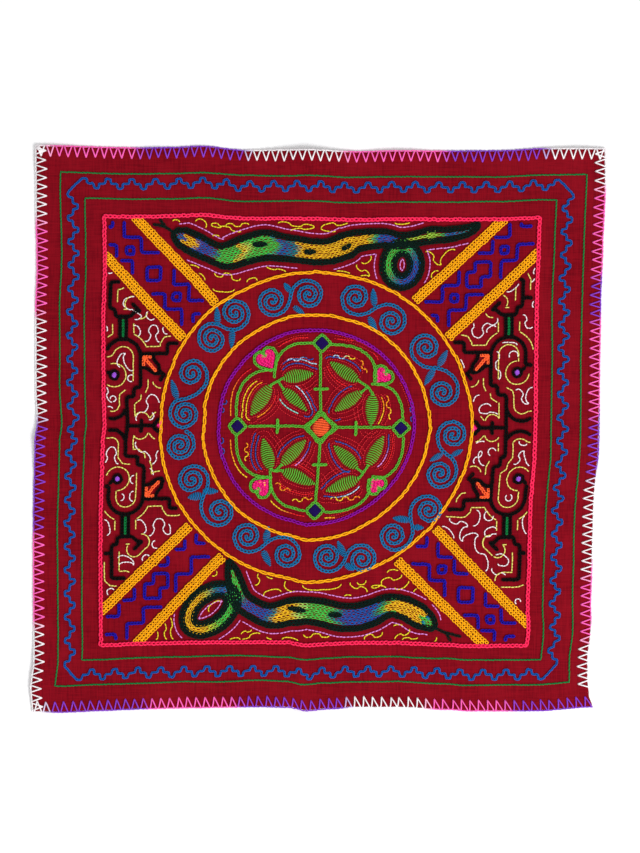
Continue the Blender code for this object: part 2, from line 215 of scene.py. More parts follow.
@dataclass(frozen=True)
class Lay:
    """The cloth as it lies: its outline, its lifted edges and its soft creases. Millimetres.

    A bow table's columns are the share of the way along an edge and the inward bow. A swell's are
    its place across and up, its radius and its height. A crease's are its place across and up, its
    length, its half width, its direction in degrees and its height.
    """

    half: float = 250.0
    top_left: Point = (-250.7, 251.2)
    top_right: Point = (254.4, 248.3)
    bottom_left: Point = (-253.7, -251.1)
    bottom_right: Point = (243.4, -246.7)
    bow_top: Line = (
        (0.00, 0.0), (0.18, 1.6), (0.24, 1.0), (0.29, -0.3), (0.37, 3.2), (0.48, 2.6), (0.56, 3.9),
        (0.64, 2.9), (0.72, 2.9), (0.81, 2.2), (0.90, 0.1), (1.00, 0.0),
    )
    bow_bottom: Line = (
        (0.00, 0.0), (0.05, -0.7), (0.12, 0.6), (0.20, 1.8), (0.28, 2.4), (0.40, 2.8), (0.455, 2.2),
        (0.49, -1.0), (0.53, 0.4), (0.57, 1.4), (0.65, 1.0), (0.74, -1.2), (0.78, -2.7), (0.90, -3.1),
        (1.00, 0.0),
    )
    bow_left: Line = (
        (0.00, 0.0), (0.04, -1.5), (0.09, 1.1), (0.17, 0.6), (0.28, 0.0), (0.35, -0.2), (0.43, 0.4),
        (0.476, 0.9), (0.51, 2.7), (0.57, 1.2), (0.71, 0.7), (0.78, 1.7), (0.91, 0.3), (1.00, 0.0),
    )
    bow_right: Line = (
        (0.00, 0.0), (0.02, 3.1), (0.05, 5.1), (0.085, 5.4), (0.14, 3.2), (0.19, 4.1), (0.28, 3.5),
        (0.35, 3.4), (0.47, 0.2), (0.52, 0.3), (0.64, 0.8), (0.74, 1.1), (0.83, 0.3), (0.94, -0.9),
        (1.00, 0.0),
    )
    swells: Sequence[tuple[float, float, float, float]] = (
        (-11.0, 252.0, 30.0, 4.6), (72.0, 250.0, 24.0, 1.8), (228.0, 250.0, 30.0, 2.4),
        (-244.0, 250.0, 26.0, 1.6), (-11.0, -250.0, 24.0, 2.6), (-252.0, -215.0, 26.0, 2.0),
        (-252.0, -10.0, 22.0, 1.8), (250.0, -6.0, 22.0, 1.6),
    )
    fold_across: float = -9.3
    fold_up: float = -8.2
    fold_half_width: float = 8.0
    fold_height: float = 0.7
    flat_half: float = 172.0
    rim_half: float = 236.0
    creases: Sequence[tuple[float, float, float, float, float, float]] = (
        (-9.3, 0.0, 260.0, 2.6, 90.0, 0.42), (0.0, -8.2, 260.0, 2.6, 0.0, 0.42),
        (-150.0, 232.0, 26.0, 7.0, 78.0, 0.55), (-84.0, 236.0, 24.0, 6.0, 96.0, -0.45),
        (48.0, 234.0, 26.0, 6.5, 84.0, 0.50), (150.0, 236.0, 22.0, 7.0, 100.0, -0.45),
        (-120.0, -236.0, 24.0, 7.0, 95.0, 0.50), (70.0, -234.0, 26.0, 6.5, 80.0, -0.45),
        (168.0, -236.0, 22.0, 6.0, 92.0, 0.45), (-236.0, 120.0, 24.0, 6.5, 8.0, 0.45),
        (-238.0, -92.0, 24.0, 6.5, -10.0, -0.40), (238.0, 96.0, 24.0, 6.5, -6.0, 0.45),
        (236.0, -120.0, 26.0, 7.0, 10.0, 0.45), (-112.0, 22.0, 46.0, 9.0, 62.0, -0.30),
        (112.0, -26.0, 46.0, 9.0, 70.0, -0.30), (30.0, 118.0, 44.0, 9.0, 8.0, -0.25),
    )
    ripples: Sequence[tuple[float, float, float, float]] = (
        (0.071, 0.043, 0.4, 0.11), (-0.052, 0.088, 1.9, 0.10), (0.112, -0.061, 3.1, 0.07),
        (0.034, 0.131, 4.4, 0.07), (-0.145, 0.027, 5.2, 0.05),
    )
    cotton_thick: float = 0.8
    hem_thick: float = 0.5
    hem_width: float = 7.5
    hem_slope: float = 1.4

    def bow(self, table: Line, share: Array) -> Array:
        """Inward bow of an edge at shares of its length, eased between the table's rows."""
        rows = np.array(table)
        place = np.interp(share, rows[:, 0], np.arange(len(rows)))
        low = np.minimum(place.astype(int), len(rows) - 2)
        return rows[low, 1] + (rows[low + 1, 1] - rows[low, 1]) * smooth_step(place - low)

    def edge(self, first: Point, last: Point, table: Line, inward: Point, share: Array) -> Array:
        """Points of one edge of the cloth.

        Args:
            first: The corner where the edge starts.
            last: The corner where it ends.
            table: Its bow table.
            inward: Its direction into the cloth.
            share: Shares of the way along it.

        Returns:
            The points, before the middle of the outline becomes the origin.
        """
        start, end = np.array(first), np.array(last)
        straight = start + (end - start) * share[:, None]
        return straight + np.array(inward) * self.bow(table, share)[:, None]

    def top(self, share: Array) -> Array:
        """Points of the top edge, left to right."""
        return self.edge(self.top_left, self.top_right, self.bow_top, (0, -1), share)

    def bottom(self, share: Array) -> Array:
        """Points of the bottom edge, left to right."""
        return self.edge(self.bottom_left, self.bottom_right, self.bow_bottom, (0, 1), share)

    def left(self, share: Array) -> Array:
        """Points of the left edge, upwards."""
        return self.edge(self.bottom_left, self.top_left, self.bow_left, (1, 0), share)

    def right(self, share: Array) -> Array:
        """Points of the right edge, upwards."""
        return self.edge(self.bottom_right, self.top_right, self.bow_right, (-1, 0), share)

    def middle(self) -> Array:
        """The middle of the box round the outline, which is the origin."""
        share = np.linspace(0.0, 1.0, 201)
        points = np.vstack([side(share) for side in (self.top, self.bottom, self.left, self.right)])
        return (points.min(axis=0) + points.max(axis=0)) / 2

    def laid(self, points: Array) -> Array:
        """Where points of the straight design lie on the uneven cloth."""
        right = (points[:, 0] + self.half) / (2 * self.half)
        high = (points[:, 1] + self.half) / (2 * self.half)
        across, up = right[:, None], high[:, None]
        sides = self.left(high) * (1 - across) + self.right(high) * across
        ends = self.bottom(right) * (1 - up) + self.top(right) * up
        low = np.array(self.bottom_left) * (1 - across) + np.array(self.bottom_right) * across
        top = np.array(self.top_left) * (1 - across) + np.array(self.top_right) * across
        return sides + ends - (low * (1 - up) + top * up) - self.middle()

    def lift(self, points: Array) -> Array:
        """Height of the cloth's underside over what it lies on."""
        x, y = points[:, 0], points[:, 1]
        height = np.zeros(len(points))
        for across, up, radius, top in self.swells:
            height += top * np.exp(-((x - across) ** 2 + (y - up) ** 2) / radius**2)
        for off in (x - self.fold_across, y - self.fold_up):
            height += self.fold_height * np.maximum(0.0, 1 - np.abs(off) / self.fold_half_width)
        out = np.maximum(np.abs(x), np.abs(y))
        return height * smooth_step((out - self.flat_half) / (self.rim_half - self.flat_half))

    def relief(self, points: Array) -> Array:
        """How far creases and the pull of the stitches raise or sink the cloth's face."""
        x, y = points[:, 0], points[:, 1]
        height = np.zeros(len(points))
        for across, up, length, width, direction, top in self.creases:
            angle = math.radians(direction)
            along = (x - across) * math.cos(angle) + (y - up) * math.sin(angle)
            aside = (y - up) * math.cos(angle) - (x - across) * math.sin(angle)
            height += top * np.exp(-((aside / width) ** 2) - (along / length) ** 4)
        for across, up, start, top in self.ripples:
            height += top * np.sin(across * x + up * y + start)
        return height

    def face(self, points: Array) -> Array:
        """Height of the cloth's upper face."""
        inside = self.half - np.maximum(np.abs(points[:, 0]), np.abs(points[:, 1]))
        hem = self.hem_thick * smooth_step((self.hem_width - inside) / self.hem_slope + 1)
        return self.lift(points) + self.cotton_thick + hem + self.relief(points)

    def place(self, points: Array) -> Array:
        """Carries points of the design, with their height over the cloth's face, into space.

        Args:
            points: Across, up and height, in millimetres.

        Returns:
            Points in metres.
        """
        flat = self.laid(points[:, :2])
        return np.column_stack([flat, self.face(points[:, :2]) + points[:, 2]]) * MM


# Stitches

# Points round one loop of chain stitch.
LOOP_POINTS = 8


@dataclass
class Shades:
    """The colours of a yarn that changes along its length. Columns: share of the way, hex colour."""

    table: Sequence[tuple[float, str]]

    def along(self, share: Array) -> Array:
        """Linear colours at shares of the way, blended between the table's rows."""
        shares = [row[0] for row in self.table]
        colours = np.array([linear(row[1]) for row in self.table])
        return np.stack([np.interp(share, shares, colours[:, part]) for part in range(3)], axis=-1)

    def between(self, start: float, end: float) -> Shades:
        """The same colours for a stretch of the way, from one share to another."""
        return Shades([((share - start) / (end - start), colour) for share, colour in self.table])


@dataclass
class Stitches:
    """Stitches of one piece, gathered as closed tubes of yarn. Millimetres on the straight design."""

    seed: int
    sides: int = 5
    points: list[Array] = field(default_factory=list)
    quads: list[Array] = field(default_factory=list)
    caps: list[Array] = field(default_factory=list)
    strands: list[Array] = field(default_factory=list)
    tints: list[Array] = field(default_factory=list)
    count: int = 0

    def __post_init__(self) -> None:
        """Starts the piece's own row of random draws."""
        self.random = np.random.default_rng(self.seed)

    def tubes(self, paths: Array, radius: Array, closed: bool, tint: Array | None = None) -> None:
        """Adds a tube of yarn along each path.

        Args:
            paths: Points of each tube: tube, point, and across, up and height.
            radius: The yarn's radius at each point of a tube.
            closed: Whether the tubes are loops. Others get flat ends.
            tint: A linear colour for each tube.
        """
        tubes, length, _ = paths.shape
        if closed:
            along = np.roll(paths, -1, axis=1) - np.roll(paths, 1, axis=1)
        else:
            along = np.gradient(paths, axis=1)
        along = along / np.linalg.norm(along, axis=2, keepdims=True)
        side = np.stack([-along[..., 1], along[..., 0], np.zeros_like(along[..., 0])], axis=-1)
        side = side / np.maximum(np.linalg.norm(side, axis=2, keepdims=True), 1e-6)
        rise = np.cross(along, side)
        turn = 2 * math.pi * (np.arange(self.sides) + 0.5) / self.sides
        thick = np.broadcast_to(radius, (tubes, length))[..., None, None]
        ring = side[:, :, None] * np.cos(turn)[:, None] + rise[:, :, None] * np.sin(turn)[:, None]
        made = paths[:, :, None] + ring * thick
        index = self.count + np.arange(tubes * length * self.sides).reshape(tubes, length, self.sides)
        ends = index if closed else index[:, :-1]
        nexts = np.roll(index, -1, axis=1) if closed else index[:, 1:]
        quads = np.stack(
            [ends, np.roll(ends, -1, axis=2), np.roll(nexts, -1, axis=2), nexts], axis=-1
        ).reshape(-1, 4)
        steps = ends.shape[1]
        spacing = np.linalg.norm(np.diff(paths, axis=1), axis=2)
        run = np.concatenate([np.zeros((tubes, 1)), np.cumsum(spacing, axis=1)], axis=1)
        first = run[:, :steps]
        last = np.concatenate([run[:, 1:], run[:, -1:] + spacing[:, -1:]], axis=1)[:, :steps]
        around = np.arange(self.sides) / self.sides
        beyond = around + 1 / self.sides
        strand = np.empty((tubes, steps, self.sides, 4, 2))
        strand[..., 0, 0] = strand[..., 1, 0] = first[..., None]
        strand[..., 2, 0] = strand[..., 3, 0] = last[..., None]
        strand[..., 0, 1] = strand[..., 3, 1] = around
        strand[..., 1, 1] = strand[..., 2, 1] = beyond
        self.points.append(made.reshape(-1, 3))
        self.quads.append(quads)
        self.strands.append(strand.reshape(-1, 2))
        if not closed:
            self.caps.append(np.concatenate([index[:, 0, ::-1], index[:, -1]]))
        if tint is not None:
            self.tints.append(np.repeat(np.broadcast_to(tint, (tubes, 3)), length * self.sides, axis=0))
        self.count += made.shape[0] * length * self.sides

    def chain(
        self,
        line: Line | Array,
        link: float,
        width: float,
        closed: bool = False,
        yarn: float = 1.3,
        base: float = 0.0,
        shades: Shades | None = None,
        lazy: float = 1.0,
    ) -> None:
        """Adds a row of chain stitch: loops that each rise inside the end of the one before.

        Args:
            line: The row's middle line.
            link: How long one loop shows.
            width: How wide the row is.
            closed: Whether the row returns to its start.
            yarn: The yarn's thickness.
            base: Height of the row over the cloth.
            shades: The yarn's colours along the row, if it changes.
            lazy: How uneven the hand is, 1 for this cloth's usual.
        """
        points = np.asarray(line, float)
        whole = np.vstack([points, points[:1]]) if closed else points
        length = run_of(whole)[-1]
        count = max(2, round(length / link))
        knots = spaced(points, count + (0 if closed else 1), closed)
        starts = knots if closed else knots[:-1]
        ends = np.roll(knots, -1, axis=0) if closed else knots[1:]
        along = ends - starts
        reach = np.linalg.norm(along, axis=1, keepdims=True)
        along = along / np.maximum(reach, 1e-6)
        swing = self.random.normal(0.0, 0.05 * lazy, count)
        along = np.column_stack(
            [along[:, 0] - along[:, 1] * swing, along[:, 1] + along[:, 0] * swing]
        )
        across = np.column_stack([-along[:, 1], along[:, 0]])
        starts = starts + across * self.random.normal(0.0, 0.10 * lazy, (count, 1))
        turn = 2 * math.pi * np.arange(LOOP_POINTS) / LOOP_POINTS
        forward = -0.10 + 0.62 * (1 - np.cos(turn))
        spread = np.sin(turn) * np.sqrt(np.sin(turn / 2))
        spread = spread / spread.max()
        half = (width - yarn) / 2 * self.random.normal(1.0, 0.07 * lazy, (count, 1))
        low = yarn / 2
        rise = low * (0.95 + 1.15 * np.exp(-(((forward - 0.14) / 0.2) ** 2)))
        rise[0] = low * 0.9
        paths = np.empty((count, LOOP_POINTS, 3))
        paths[..., :2] = (
            starts[:, None]
            + along[:, None] * (reach * forward)[..., None]
            + across[:, None] * (half * spread)[..., None]
        )
        paths[..., 2] = base + rise * self.random.normal(1.0, 0.04, (count, 1))
        tint = None
        if shades:
            tint = shades.along((np.arange(count) + 0.5) / count)
            tint = tint * self.random.normal(1.0, 0.06, (count, 1))
        self.tubes(paths, np.full(LOOP_POINTS, low), True, tint)

    def running(
        self,
        line: Line | Array,
        pitch: float,
        yarn: float,
        share: float = 0.9,
        slant: float = 0.0,
        base: float = 0.0,
        shades: Shades | None = None,
    ) -> None:
        """Adds single stitches one after another: running, back or stem stitch.

        Args:
            line: The row's middle line.
            pitch: From one stitch's start to the next one's.
            yarn: The yarn's thickness.
            share: How much of the pitch a stitch covers. Over 1, stitches lie side by side.
            slant: How far each stitch's ends lie off the line, one to each side.
            base: Height of the row over the cloth.
            shades: The yarn's colours along the row, if it changes.
        """
        points = np.asarray(line, float)
        length = run_of(points)[-1]
        count = max(1, round(length / pitch))
        pitch = length / count
        way = np.array([0.0, 0.16, 0.5, 0.84, 1.0])
        begin = np.arange(count) * pitch + self.random.normal(0.0, 0.05 * pitch, count)
        places = np.clip(begin[:, None] + way * pitch * share, 0.0, length)
        spots = at(points, places)
        along = spots[:, -1] - spots[:, 0]
        along /= np.maximum(np.linalg.norm(along, axis=1, keepdims=True), 1e-6)
        across = np.column_stack([-along[:, 1], along[:, 0]])
        aside = slant * (1 - 2 * way) + self.random.normal(0.0, 0.08, (count, 1))
        keep = np.linalg.norm(spots[:, -1] - spots[:, 0], axis=1) > 0.3 * yarn
        spots = spots + across[:, None] * aside[..., None]
        height = yarn / 2 * np.array([0.15, 0.85, 1.1, 0.85, 0.15]) + base
        paths = np.concatenate([spots, np.broadcast_to(height[:, None], (count, 5, 1))], axis=2)
        radius = yarn / 2 * np.array([0.7, 1.0, 1.0, 1.0, 0.7])
        tint = shades.along((np.arange(count) + 0.5) / count)[keep] if shades else None
        self.tubes(paths[keep], radius, False, tint)

    def straight(self, starts: Array, ends: Array, yarn: float, tint: Array | None = None) -> None:
        """Adds straight stitches, each with its own two ends, as in satin stitch.

        Args:
            starts: First end of each stitch.
            ends: Second end of each.
            yarn: The yarn's thickness.
            tint: A linear colour for each stitch.
        """
        way = np.array([0.0, 0.12, 0.5, 0.88, 1.0])
        flat = starts[:, None] + (ends - starts)[:, None] * way[:, None]
        height = yarn * (0.1 + np.array([0.0, 0.4, 0.7, 0.4, 0.0]))
        height = height + self.random.normal(0.0, 0.04, (len(starts), 1))
        paths = np.concatenate([flat, height[..., None]], axis=2)
        self.tubes(paths, yarn / 2 * np.array([0.75, 1.0, 1.0, 1.0, 0.75]), False, tint)

    def leaf(self, base: Point, tip: Point, width: float, pitch: float = 2.0, yarn: float = 1.15) -> None:
        """Adds a leaf of stitches that lie across it, bent a little towards its tip, with open gaps.

        Args:
            base: Where the leaf joins its stem.
            tip: Its point.
            width: Its greatest width.
            pitch: Distance between stitches along it.
            yarn: The yarn's thickness.
        """
        start, end = np.array(base, float), np.array(tip, float)
        length = np.linalg.norm(end - start)
        along = (end - start) / length
        across = np.array([-along[1], along[0]])
        count = max(4, round(length / pitch))
        way = (np.arange(count) + 0.5) / count
        half = leaf_half(width, way) + self.random.normal(0.0, 0.15, count)
        side = np.array([-1.0, -0.8, 0.0, 0.8, 1.0])
        bend = np.array([-0.35, -0.2, 0.55, -0.2, -0.35])
        paths = np.empty((count, 5, 3))
        paths[..., :2] = (
            start
            + along * (way[:, None] * length + bend * (half / width * 2)[:, None])[..., None]
            + across * (side * np.maximum(half, 0.5)[:, None])[..., None]
        )
        paths[..., 2] = yarn * np.array([0.1, 0.5, 0.75, 0.5, 0.1])
        self.tubes(paths, yarn / 2 * np.array([0.7, 1.0, 1.0, 1.0, 0.7]), False)

    def filled(
        self, outline: Array, degrees: float, pitch: float, yarn: float, stitch: float, gap: float = 0.0
    ) -> None:
        """Fills a closed outline with rows of stitches.

        Args:
            outline: The figure's outline.
            degrees: The rows' direction.
            pitch: Distance between rows.
            yarn: The yarn's thickness.
            stitch: The longest stitch of a row.
            gap: Distance left open between two stitches of a row.
        """
        held = turned(outline, -degrees)
        nexts = np.roll(held, -1, axis=0)
        starts, ends = [], []
        for level in np.arange(held[:, 1].min() + pitch / 2, held[:, 1].max(), pitch):
            passes = (held[:, 1] <= level) != (nexts[:, 1] <= level)
            way = (level - held[passes, 1]) / (nexts[passes, 1] - held[passes, 1])
            cuts = np.sort(held[passes, 0] + (nexts[passes, 0] - held[passes, 0]) * way)
            for left, right in zip(cuts[::2], cuts[1::2]):
                if right - left < yarn:
                    continue
                parts = max(1, math.ceil((right - left) / stitch))
                marks = np.linspace(left, right, parts + 1)
                marks[1:-1] += self.random.normal(0.0, 0.12 * stitch, parts - 1)
                starts += [(mark + gap / 2, level) for mark in marks[:-1]]
                ends += [(mark - gap / 2, level) for mark in marks[1:]]
        if starts:
            self.straight(turned(starts, degrees), turned(ends, degrees), yarn)

    def object(self, name: str, lay: Lay, finish: bpy.types.Material) -> bpy.types.Object:
        """Lays the stitches on the cloth as one mesh object.

        Args:
            name: The piece's name.
            lay: How the cloth lies.
            finish: The yarn's material.

        Returns:
            The new object.
        """
        points = lay.place(np.vstack(self.points))
        # Yarn that turns under the rim is pressed flat on what the cloth lies on.
        points[:, 2] = np.maximum(points[:, 2], 0.0)
        made = mesh_object(
            name,
            points,
            [np.vstack(self.quads)] + ([np.vstack(self.caps)] if self.caps else []),
            finish,
        )
        strand = made.data.uv_layers.new(name="strand")
        turns = np.zeros((len(made.data.loops), 2))
        lengths = np.vstack(self.strands)
        turns[: len(lengths)] = lengths
        strand.data.foreach_set("uv", turns.ravel())
        if self.tints:
            tint = made.data.color_attributes.new(name="tint", type="FLOAT_COLOR", domain="POINT")
            colours = np.ones((self.count, 4))
            colours[:, :3] = np.vstack(self.tints)
            tint.data.foreach_set("color", colours.ravel())
        return made


def mesh_object(
    name: str, points: Array, faces: Sequence[Array], finish: bpy.types.Material
) -> bpy.types.Object:
    """Makes a smooth mesh object from arrays.

    Args:
        name: The object's name.
        points: Its points, in metres.
        faces: Arrays of faces, each with its own number of corners.
        finish: Its material.

    Returns:
        The object, linked to the scene.
    """
    corners = np.concatenate([group.ravel() for group in faces])
    sizes = np.concatenate([np.full(len(group), group.shape[1]) for group in faces])
    data = bpy.data.meshes.new(name)
    data.vertices.add(len(points))
    data.vertices.foreach_set("co", points.ravel())
    data.loops.add(len(corners))
    data.loops.foreach_set("vertex_index", corners)
    data.polygons.add(len(sizes))
    data.polygons.foreach_set("loop_start", np.concatenate([[0], np.cumsum(sizes)[:-1]]))
    data.polygons.foreach_set("use_smooth", np.ones(len(sizes), bool))
    data.update(calc_edges=True)
    data.materials.append(finish)
    made = bpy.data.objects.new(name, data)
    bpy.context.scene.collection.objects.link(made)
    return made


# Finishes


def add_node(
    tree: bpy.types.NodeTree,
    kind: str,
    settings: dict[str | int, object] | None = None,
    links: dict[str | int, bpy.types.NodeSocket] | None = None,
    **options: object,
) -> bpy.types.Node:
    """Adds a node with its socket values, links and options.

    Args:
        tree: The node tree.
        kind: Blender's name for the node.
        settings: Values by input name or number.
        links: Output sockets by input name or number.
        options: The node's own properties.

    Returns:
        The node.
    """
    node = tree.nodes.new(kind)
    for name, value in options.items():
        setattr(node, name, value)
    for name, value in (settings or {}).items():
        node.inputs[name].default_value = value
    for name, socket in (links or {}).items():
        tree.links.new(socket, node.inputs[name])
    return node


def principled(name: str, **sockets: object) -> tuple[bpy.types.Material, bpy.types.NodeTree, bpy.types.Node]:
    """A new material with its shader's own sockets set.

    Args:
        name: The material's name.
        sockets: Values by socket name, with _ for a space.

    Returns:
        The material, its node tree and its shader.
    """
    made = bpy.data.materials.new(name)
    made.use_nodes = True
    shader = made.node_tree.nodes["Principled BSDF"]
    for socket, value in sockets.items():
        shader.inputs[socket.replace("_", " ")].default_value = value
    return made, made.node_tree, shader


@dataclass(frozen=True)
class PlainWeave:
    """Plain-weave cotton, piece-dyed: dull, with slubs in both directions, painted shade where the weave's bump is
    low, and faintly worn patches.
    """

    colour: str = "7e0817"
    slub_and_gap_shade: str = "680412"
    worn: str = "8e101f"
    # The real threads, about 0.5 mm apart, are too fine to show, so they are drawn twice as coarse.
    thread_mm: float = 0.55
    slub_mm: float = 14.0

    def material(self) -> bpy.types.Material:
        """Builds the material. Slubs and a fine crossed bump keep the red from looking like paint; the darker slub
        red lies where the bump is low, so it is also painted shade.
        """
        made, tree, shader = principled(
            "cotton_plain_weave_red", Roughness=0.95, Specular_IOR_Level=0.06
        )
        spot = add_node(tree, "ShaderNodeTexCoord").outputs["Object"]
        threads = []
        for stretch in ((1.0, 0.06, 1.0), (0.06, 1.0, 1.0)):
            drawn = add_node(tree, "ShaderNodeMapping", {"Scale": stretch}, {"Vector": spot})
            threads.append(
                add_node(
                    tree,
                    "ShaderNodeTexNoise",
                    {"Scale": 1 / (self.thread_mm * 2 * MM), "Detail": 2.0},
                    {"Vector": drawn.outputs["Vector"]},
                ).outputs["Fac"]
            )
        crossed = add_node(
            tree, "ShaderNodeMath", {}, {0: threads[0], 1: threads[1]}, operation="ADD"
        ).outputs[0]
        cloudy = add_node(
            tree, "ShaderNodeTexNoise", {"Scale": 1 / (self.slub_mm * 3 * MM), "Detail": 4.0}, {"Vector": spot}
        ).outputs["Fac"]
        # Slubs and painted shade: the darker red goes where the crossed threads' bump is low.
        shade = add_node(
            tree, "ShaderNodeMapRange", {"From Min": 0.75, "From Max": 1.15}, {"Value": crossed}
        ).outputs["Result"]
        dyed = add_node(
            tree,
            "ShaderNodeMix",
            {6: (*linear(self.slub_and_gap_shade), 1.0), 7: (*linear(self.colour), 1.0)},
            {"Factor": shade},
            data_type="RGBA",
        )
        faded = add_node(
            tree, "ShaderNodeMapRange", {"From Min": 0.45, "From Max": 0.8, "To Max": 0.55}, {"Value": cloudy}
        ).outputs["Result"]
        worn = add_node(
            tree,
            "ShaderNodeMix",
            {7: (*linear(self.worn), 1.0)},
            {"Factor": faded, 6: dyed.outputs[2]},
            data_type="RGBA",
        )
        tree.links.new(worn.outputs[2], shader.inputs["Base Color"])
        bump = add_node(
            tree, "ShaderNodeBump", {"Strength": 0.35, "Distance": 0.25 * MM}, {"Height": crossed}
        )
        tree.links.new(bump.outputs["Normal"], shader.inputs["Normal"])
        return made


@dataclass(frozen=True)
class SpunYarn:
    """Soft two-ply embroidery yarn: matt and deep in colour, with a rope-like twist."""

    name: str
    colour: str | None
    twist_mm: float = 1.6
    plies: int = 2
    uneven: float = 0.16
    # Fuzz in tufts of about 2.4 mm.
    tufts_per_m: float = 420.0

    def material(self) -> bpy.types.Material:
        """Builds the material. The twist is a bump along each strand, its grooves carry painted shade and its crests
        a faint painted highlight, and dye takes unevenly.
        """
        made, tree, shader = principled(
            f"spun_yarn_{self.name}", Roughness=0.85, Specular_IOR_Level=0.12
        )
        strand = add_node(tree, "ShaderNodeUVMap", uv_map="strand").outputs["UV"]
        parts = add_node(tree, "ShaderNodeSeparateXYZ", {}, {"Vector": strand}).outputs
        along = add_node(
            tree, "ShaderNodeMath", {1: 2 * math.pi / self.twist_mm}, {0: parts["X"]}, operation="MULTIPLY"
        ).outputs[0]
        around = add_node(
            tree, "ShaderNodeMath", {1: 2 * math.pi * self.plies}, {0: parts["Y"], 2: along}, operation="MULTIPLY_ADD"
        ).outputs[0]
        ply = add_node(tree, "ShaderNodeMath", {}, {0: around}, operation="SINE").outputs[0]
        spot = add_node(tree, "ShaderNodeTexCoord").outputs["Object"]
        tufts = {"Scale": self.tufts_per_m, "Detail": 3.0}
        fuzz = add_node(tree, "ShaderNodeTexNoise", tufts, {"Vector": spot}).outputs["Fac"]
        shade = add_node(
            tree,
            "ShaderNodeMapRange",
            {"From Min": 0.3, "From Max": 0.7, "To Min": 1 - self.uneven, "To Max": 1 + self.uneven},
            {"Value": fuzz},
        ).outputs["Result"]
        # Painted shade: the colour is darkened in the twist's grooves and lit a little on its crests, following the
        # bump's ply wave.
        painted_groove_shade = add_node(
            tree, "ShaderNodeMath", {1: 0.10, 2: 0.95}, {0: ply}, operation="MULTIPLY_ADD"
        ).outputs[0]
        # The colour's value is the uneven dye times the painted shade of the twist's grooves.
        value = add_node(tree, "ShaderNodeMath", {}, {0: shade, 1: painted_groove_shade}, operation="MULTIPLY").outputs[0]
        tone = add_node(tree, "ShaderNodeHueSaturation", {}, {"Value": value})
        if self.colour is None:
            tint = add_node(tree, "ShaderNodeAttribute", attribute_name="tint").outputs["Color"]
            tree.links.new(tint, tone.inputs["Color"])
        else:
            tone.inputs["Color"].default_value = (*linear(self.colour), 1.0)
        tree.links.new(tone.outputs["Color"], shader.inputs["Base Color"])
        bump = add_node(tree, "ShaderNodeBump", {"Strength": 0.5, "Distance": 0.12 * MM}, {"Height": ply})
        tree.links.new(bump.outputs["Normal"], shader.inputs["Normal"])
        return made


class Yarn(Enum):
    """The yarns of this cloth. Values: a slot name and an sRGB hex colour."""

    PINK = ("yarn_pink", "ff2a5c")
    ORANGE = ("yarn_orange", "ffb010")
    PURPLE = ("yarn_purple", "8a0898")
    GREEN = ("yarn_green", "067a3c")
    BLUE = ("yarn_blue", "0b55a8")
    BOTTLE_GREEN = ("yarn_bottle_green", "021a14")
    TEAL = ("yarn_teal", "056fa6")
    VIOLET = ("yarn_violet", "1c109c")
    BLACK = ("yarn_black", "030304")
    LEAF_GREEN = ("yarn_leaf_green", "58b436")
    ROSE = ("yarn_rose", "ff2488")
    CORAL = ("yarn_coral", "ff6432")
    MAUVE = ("yarn_mauve", "a95ae0")
    DUSK = ("yarn_violet", "1c0858")
    RED = ("yarn_coral", "d02430")
    CHANGING = ("yarn_variegated", None)
    EDGING = ("yarn_edging", None)


@dataclass
class Workbench:
    """What every sub-assembly needs: the cloth's lay and the yarns."""

    lay: Lay
    finishes: dict[Yarn, bpy.types.Material] = field(default_factory=dict)

    def __post_init__(self) -> None:
        """Spins each yarn once."""
        for yarn in Yarn:
            self.finishes[yarn] = SpunYarn(yarn.name.lower(), yarn.value[1]).material()

    def sew(self, name: str, stitches: Stitches, yarn: Yarn, *nodes: str) -> bpy.types.Object:
        """Makes a piece of the gathered stitches and fixes it to the cloth.

        Args:
            name: The piece's name.
            stitches: Its stitches.
            yarn: Its yarn.
            nodes: CAD nodes that it stands for.

        Returns:
            The piece.
        """
        piece = stitches.object(name, self.lay, self.finishes[yarn])
        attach(piece, "root")
        if nodes:
            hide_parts(*nodes)
        faces = sum(len(group) * 2 for group in stitches.quads)
        log.info("%s: %d triangles", name, faces)
        return piece


# The cloth and its edge


@dataclass
class ClothSheet:
    """The square of cotton: one closed sheet with a narrow turned hem. Millimetres."""

    lines: int = 164
    inner_half: float = 240.5
    rim_lines: Sequence[float] = (241.4, 242.2, 243.0, 244.0, 246.0, 248.0, 249.2, 249.8, 250.0)
    rim_drop: Sequence[float] = (0.0, 0.0, 0.0, 0.0, 0.0, 0.0, 0.08, 0.3, 0.6)
    flat_mm: Point = (506.0, 499.0)

    def build(self, bench: Workbench) -> bpy.types.Object:
        """Args:
            bench: The cloth's lay and the yarns.

        Returns:
            The sheet.
        """
        rim = np.array(self.rim_lines)
        inner = np.linspace(-self.inner_half, self.inner_half, self.lines)
        places = np.concatenate([-rim[::-1], inner, rim])
        count = len(places)
        x, y = (grid.ravel() for grid in np.meshgrid(places, places, indexing="ij"))
        flat = np.column_stack([x, y])
        out = np.maximum(np.abs(x), np.abs(y))
        drop = np.interp(out, rim, self.rim_drop)
        face = bench.lay.place(np.column_stack([flat, -drop]))
        under = np.column_stack([bench.lay.laid(flat), bench.lay.lift(flat)]) * MM
        index = np.arange(count * count).reshape(count, count)
        upper = np.stack([index[:-1, :-1], index[1:, :-1], index[1:, 1:], index[:-1, 1:]], axis=-1).reshape(-1, 4)
        lower = upper[:, ::-1] + count * count
        ring = np.concatenate([index[:-1, 0], index[-1, :-1], index[:0:-1, -1], index[0, :0:-1]])
        after = np.roll(ring, -1)
        wall = np.column_stack([ring, ring + count * count, after + count * count, after])[:, ::-1]
        sheet = mesh_object(
            "cloth_sheet", np.vstack([face, under]), [np.vstack([upper, lower, wall])], PlainWeave().material()
        )
        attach(sheet, "root")
        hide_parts("cloth")
        log.info("cloth_sheet: %d triangles", 4 * len(upper))
        return sheet


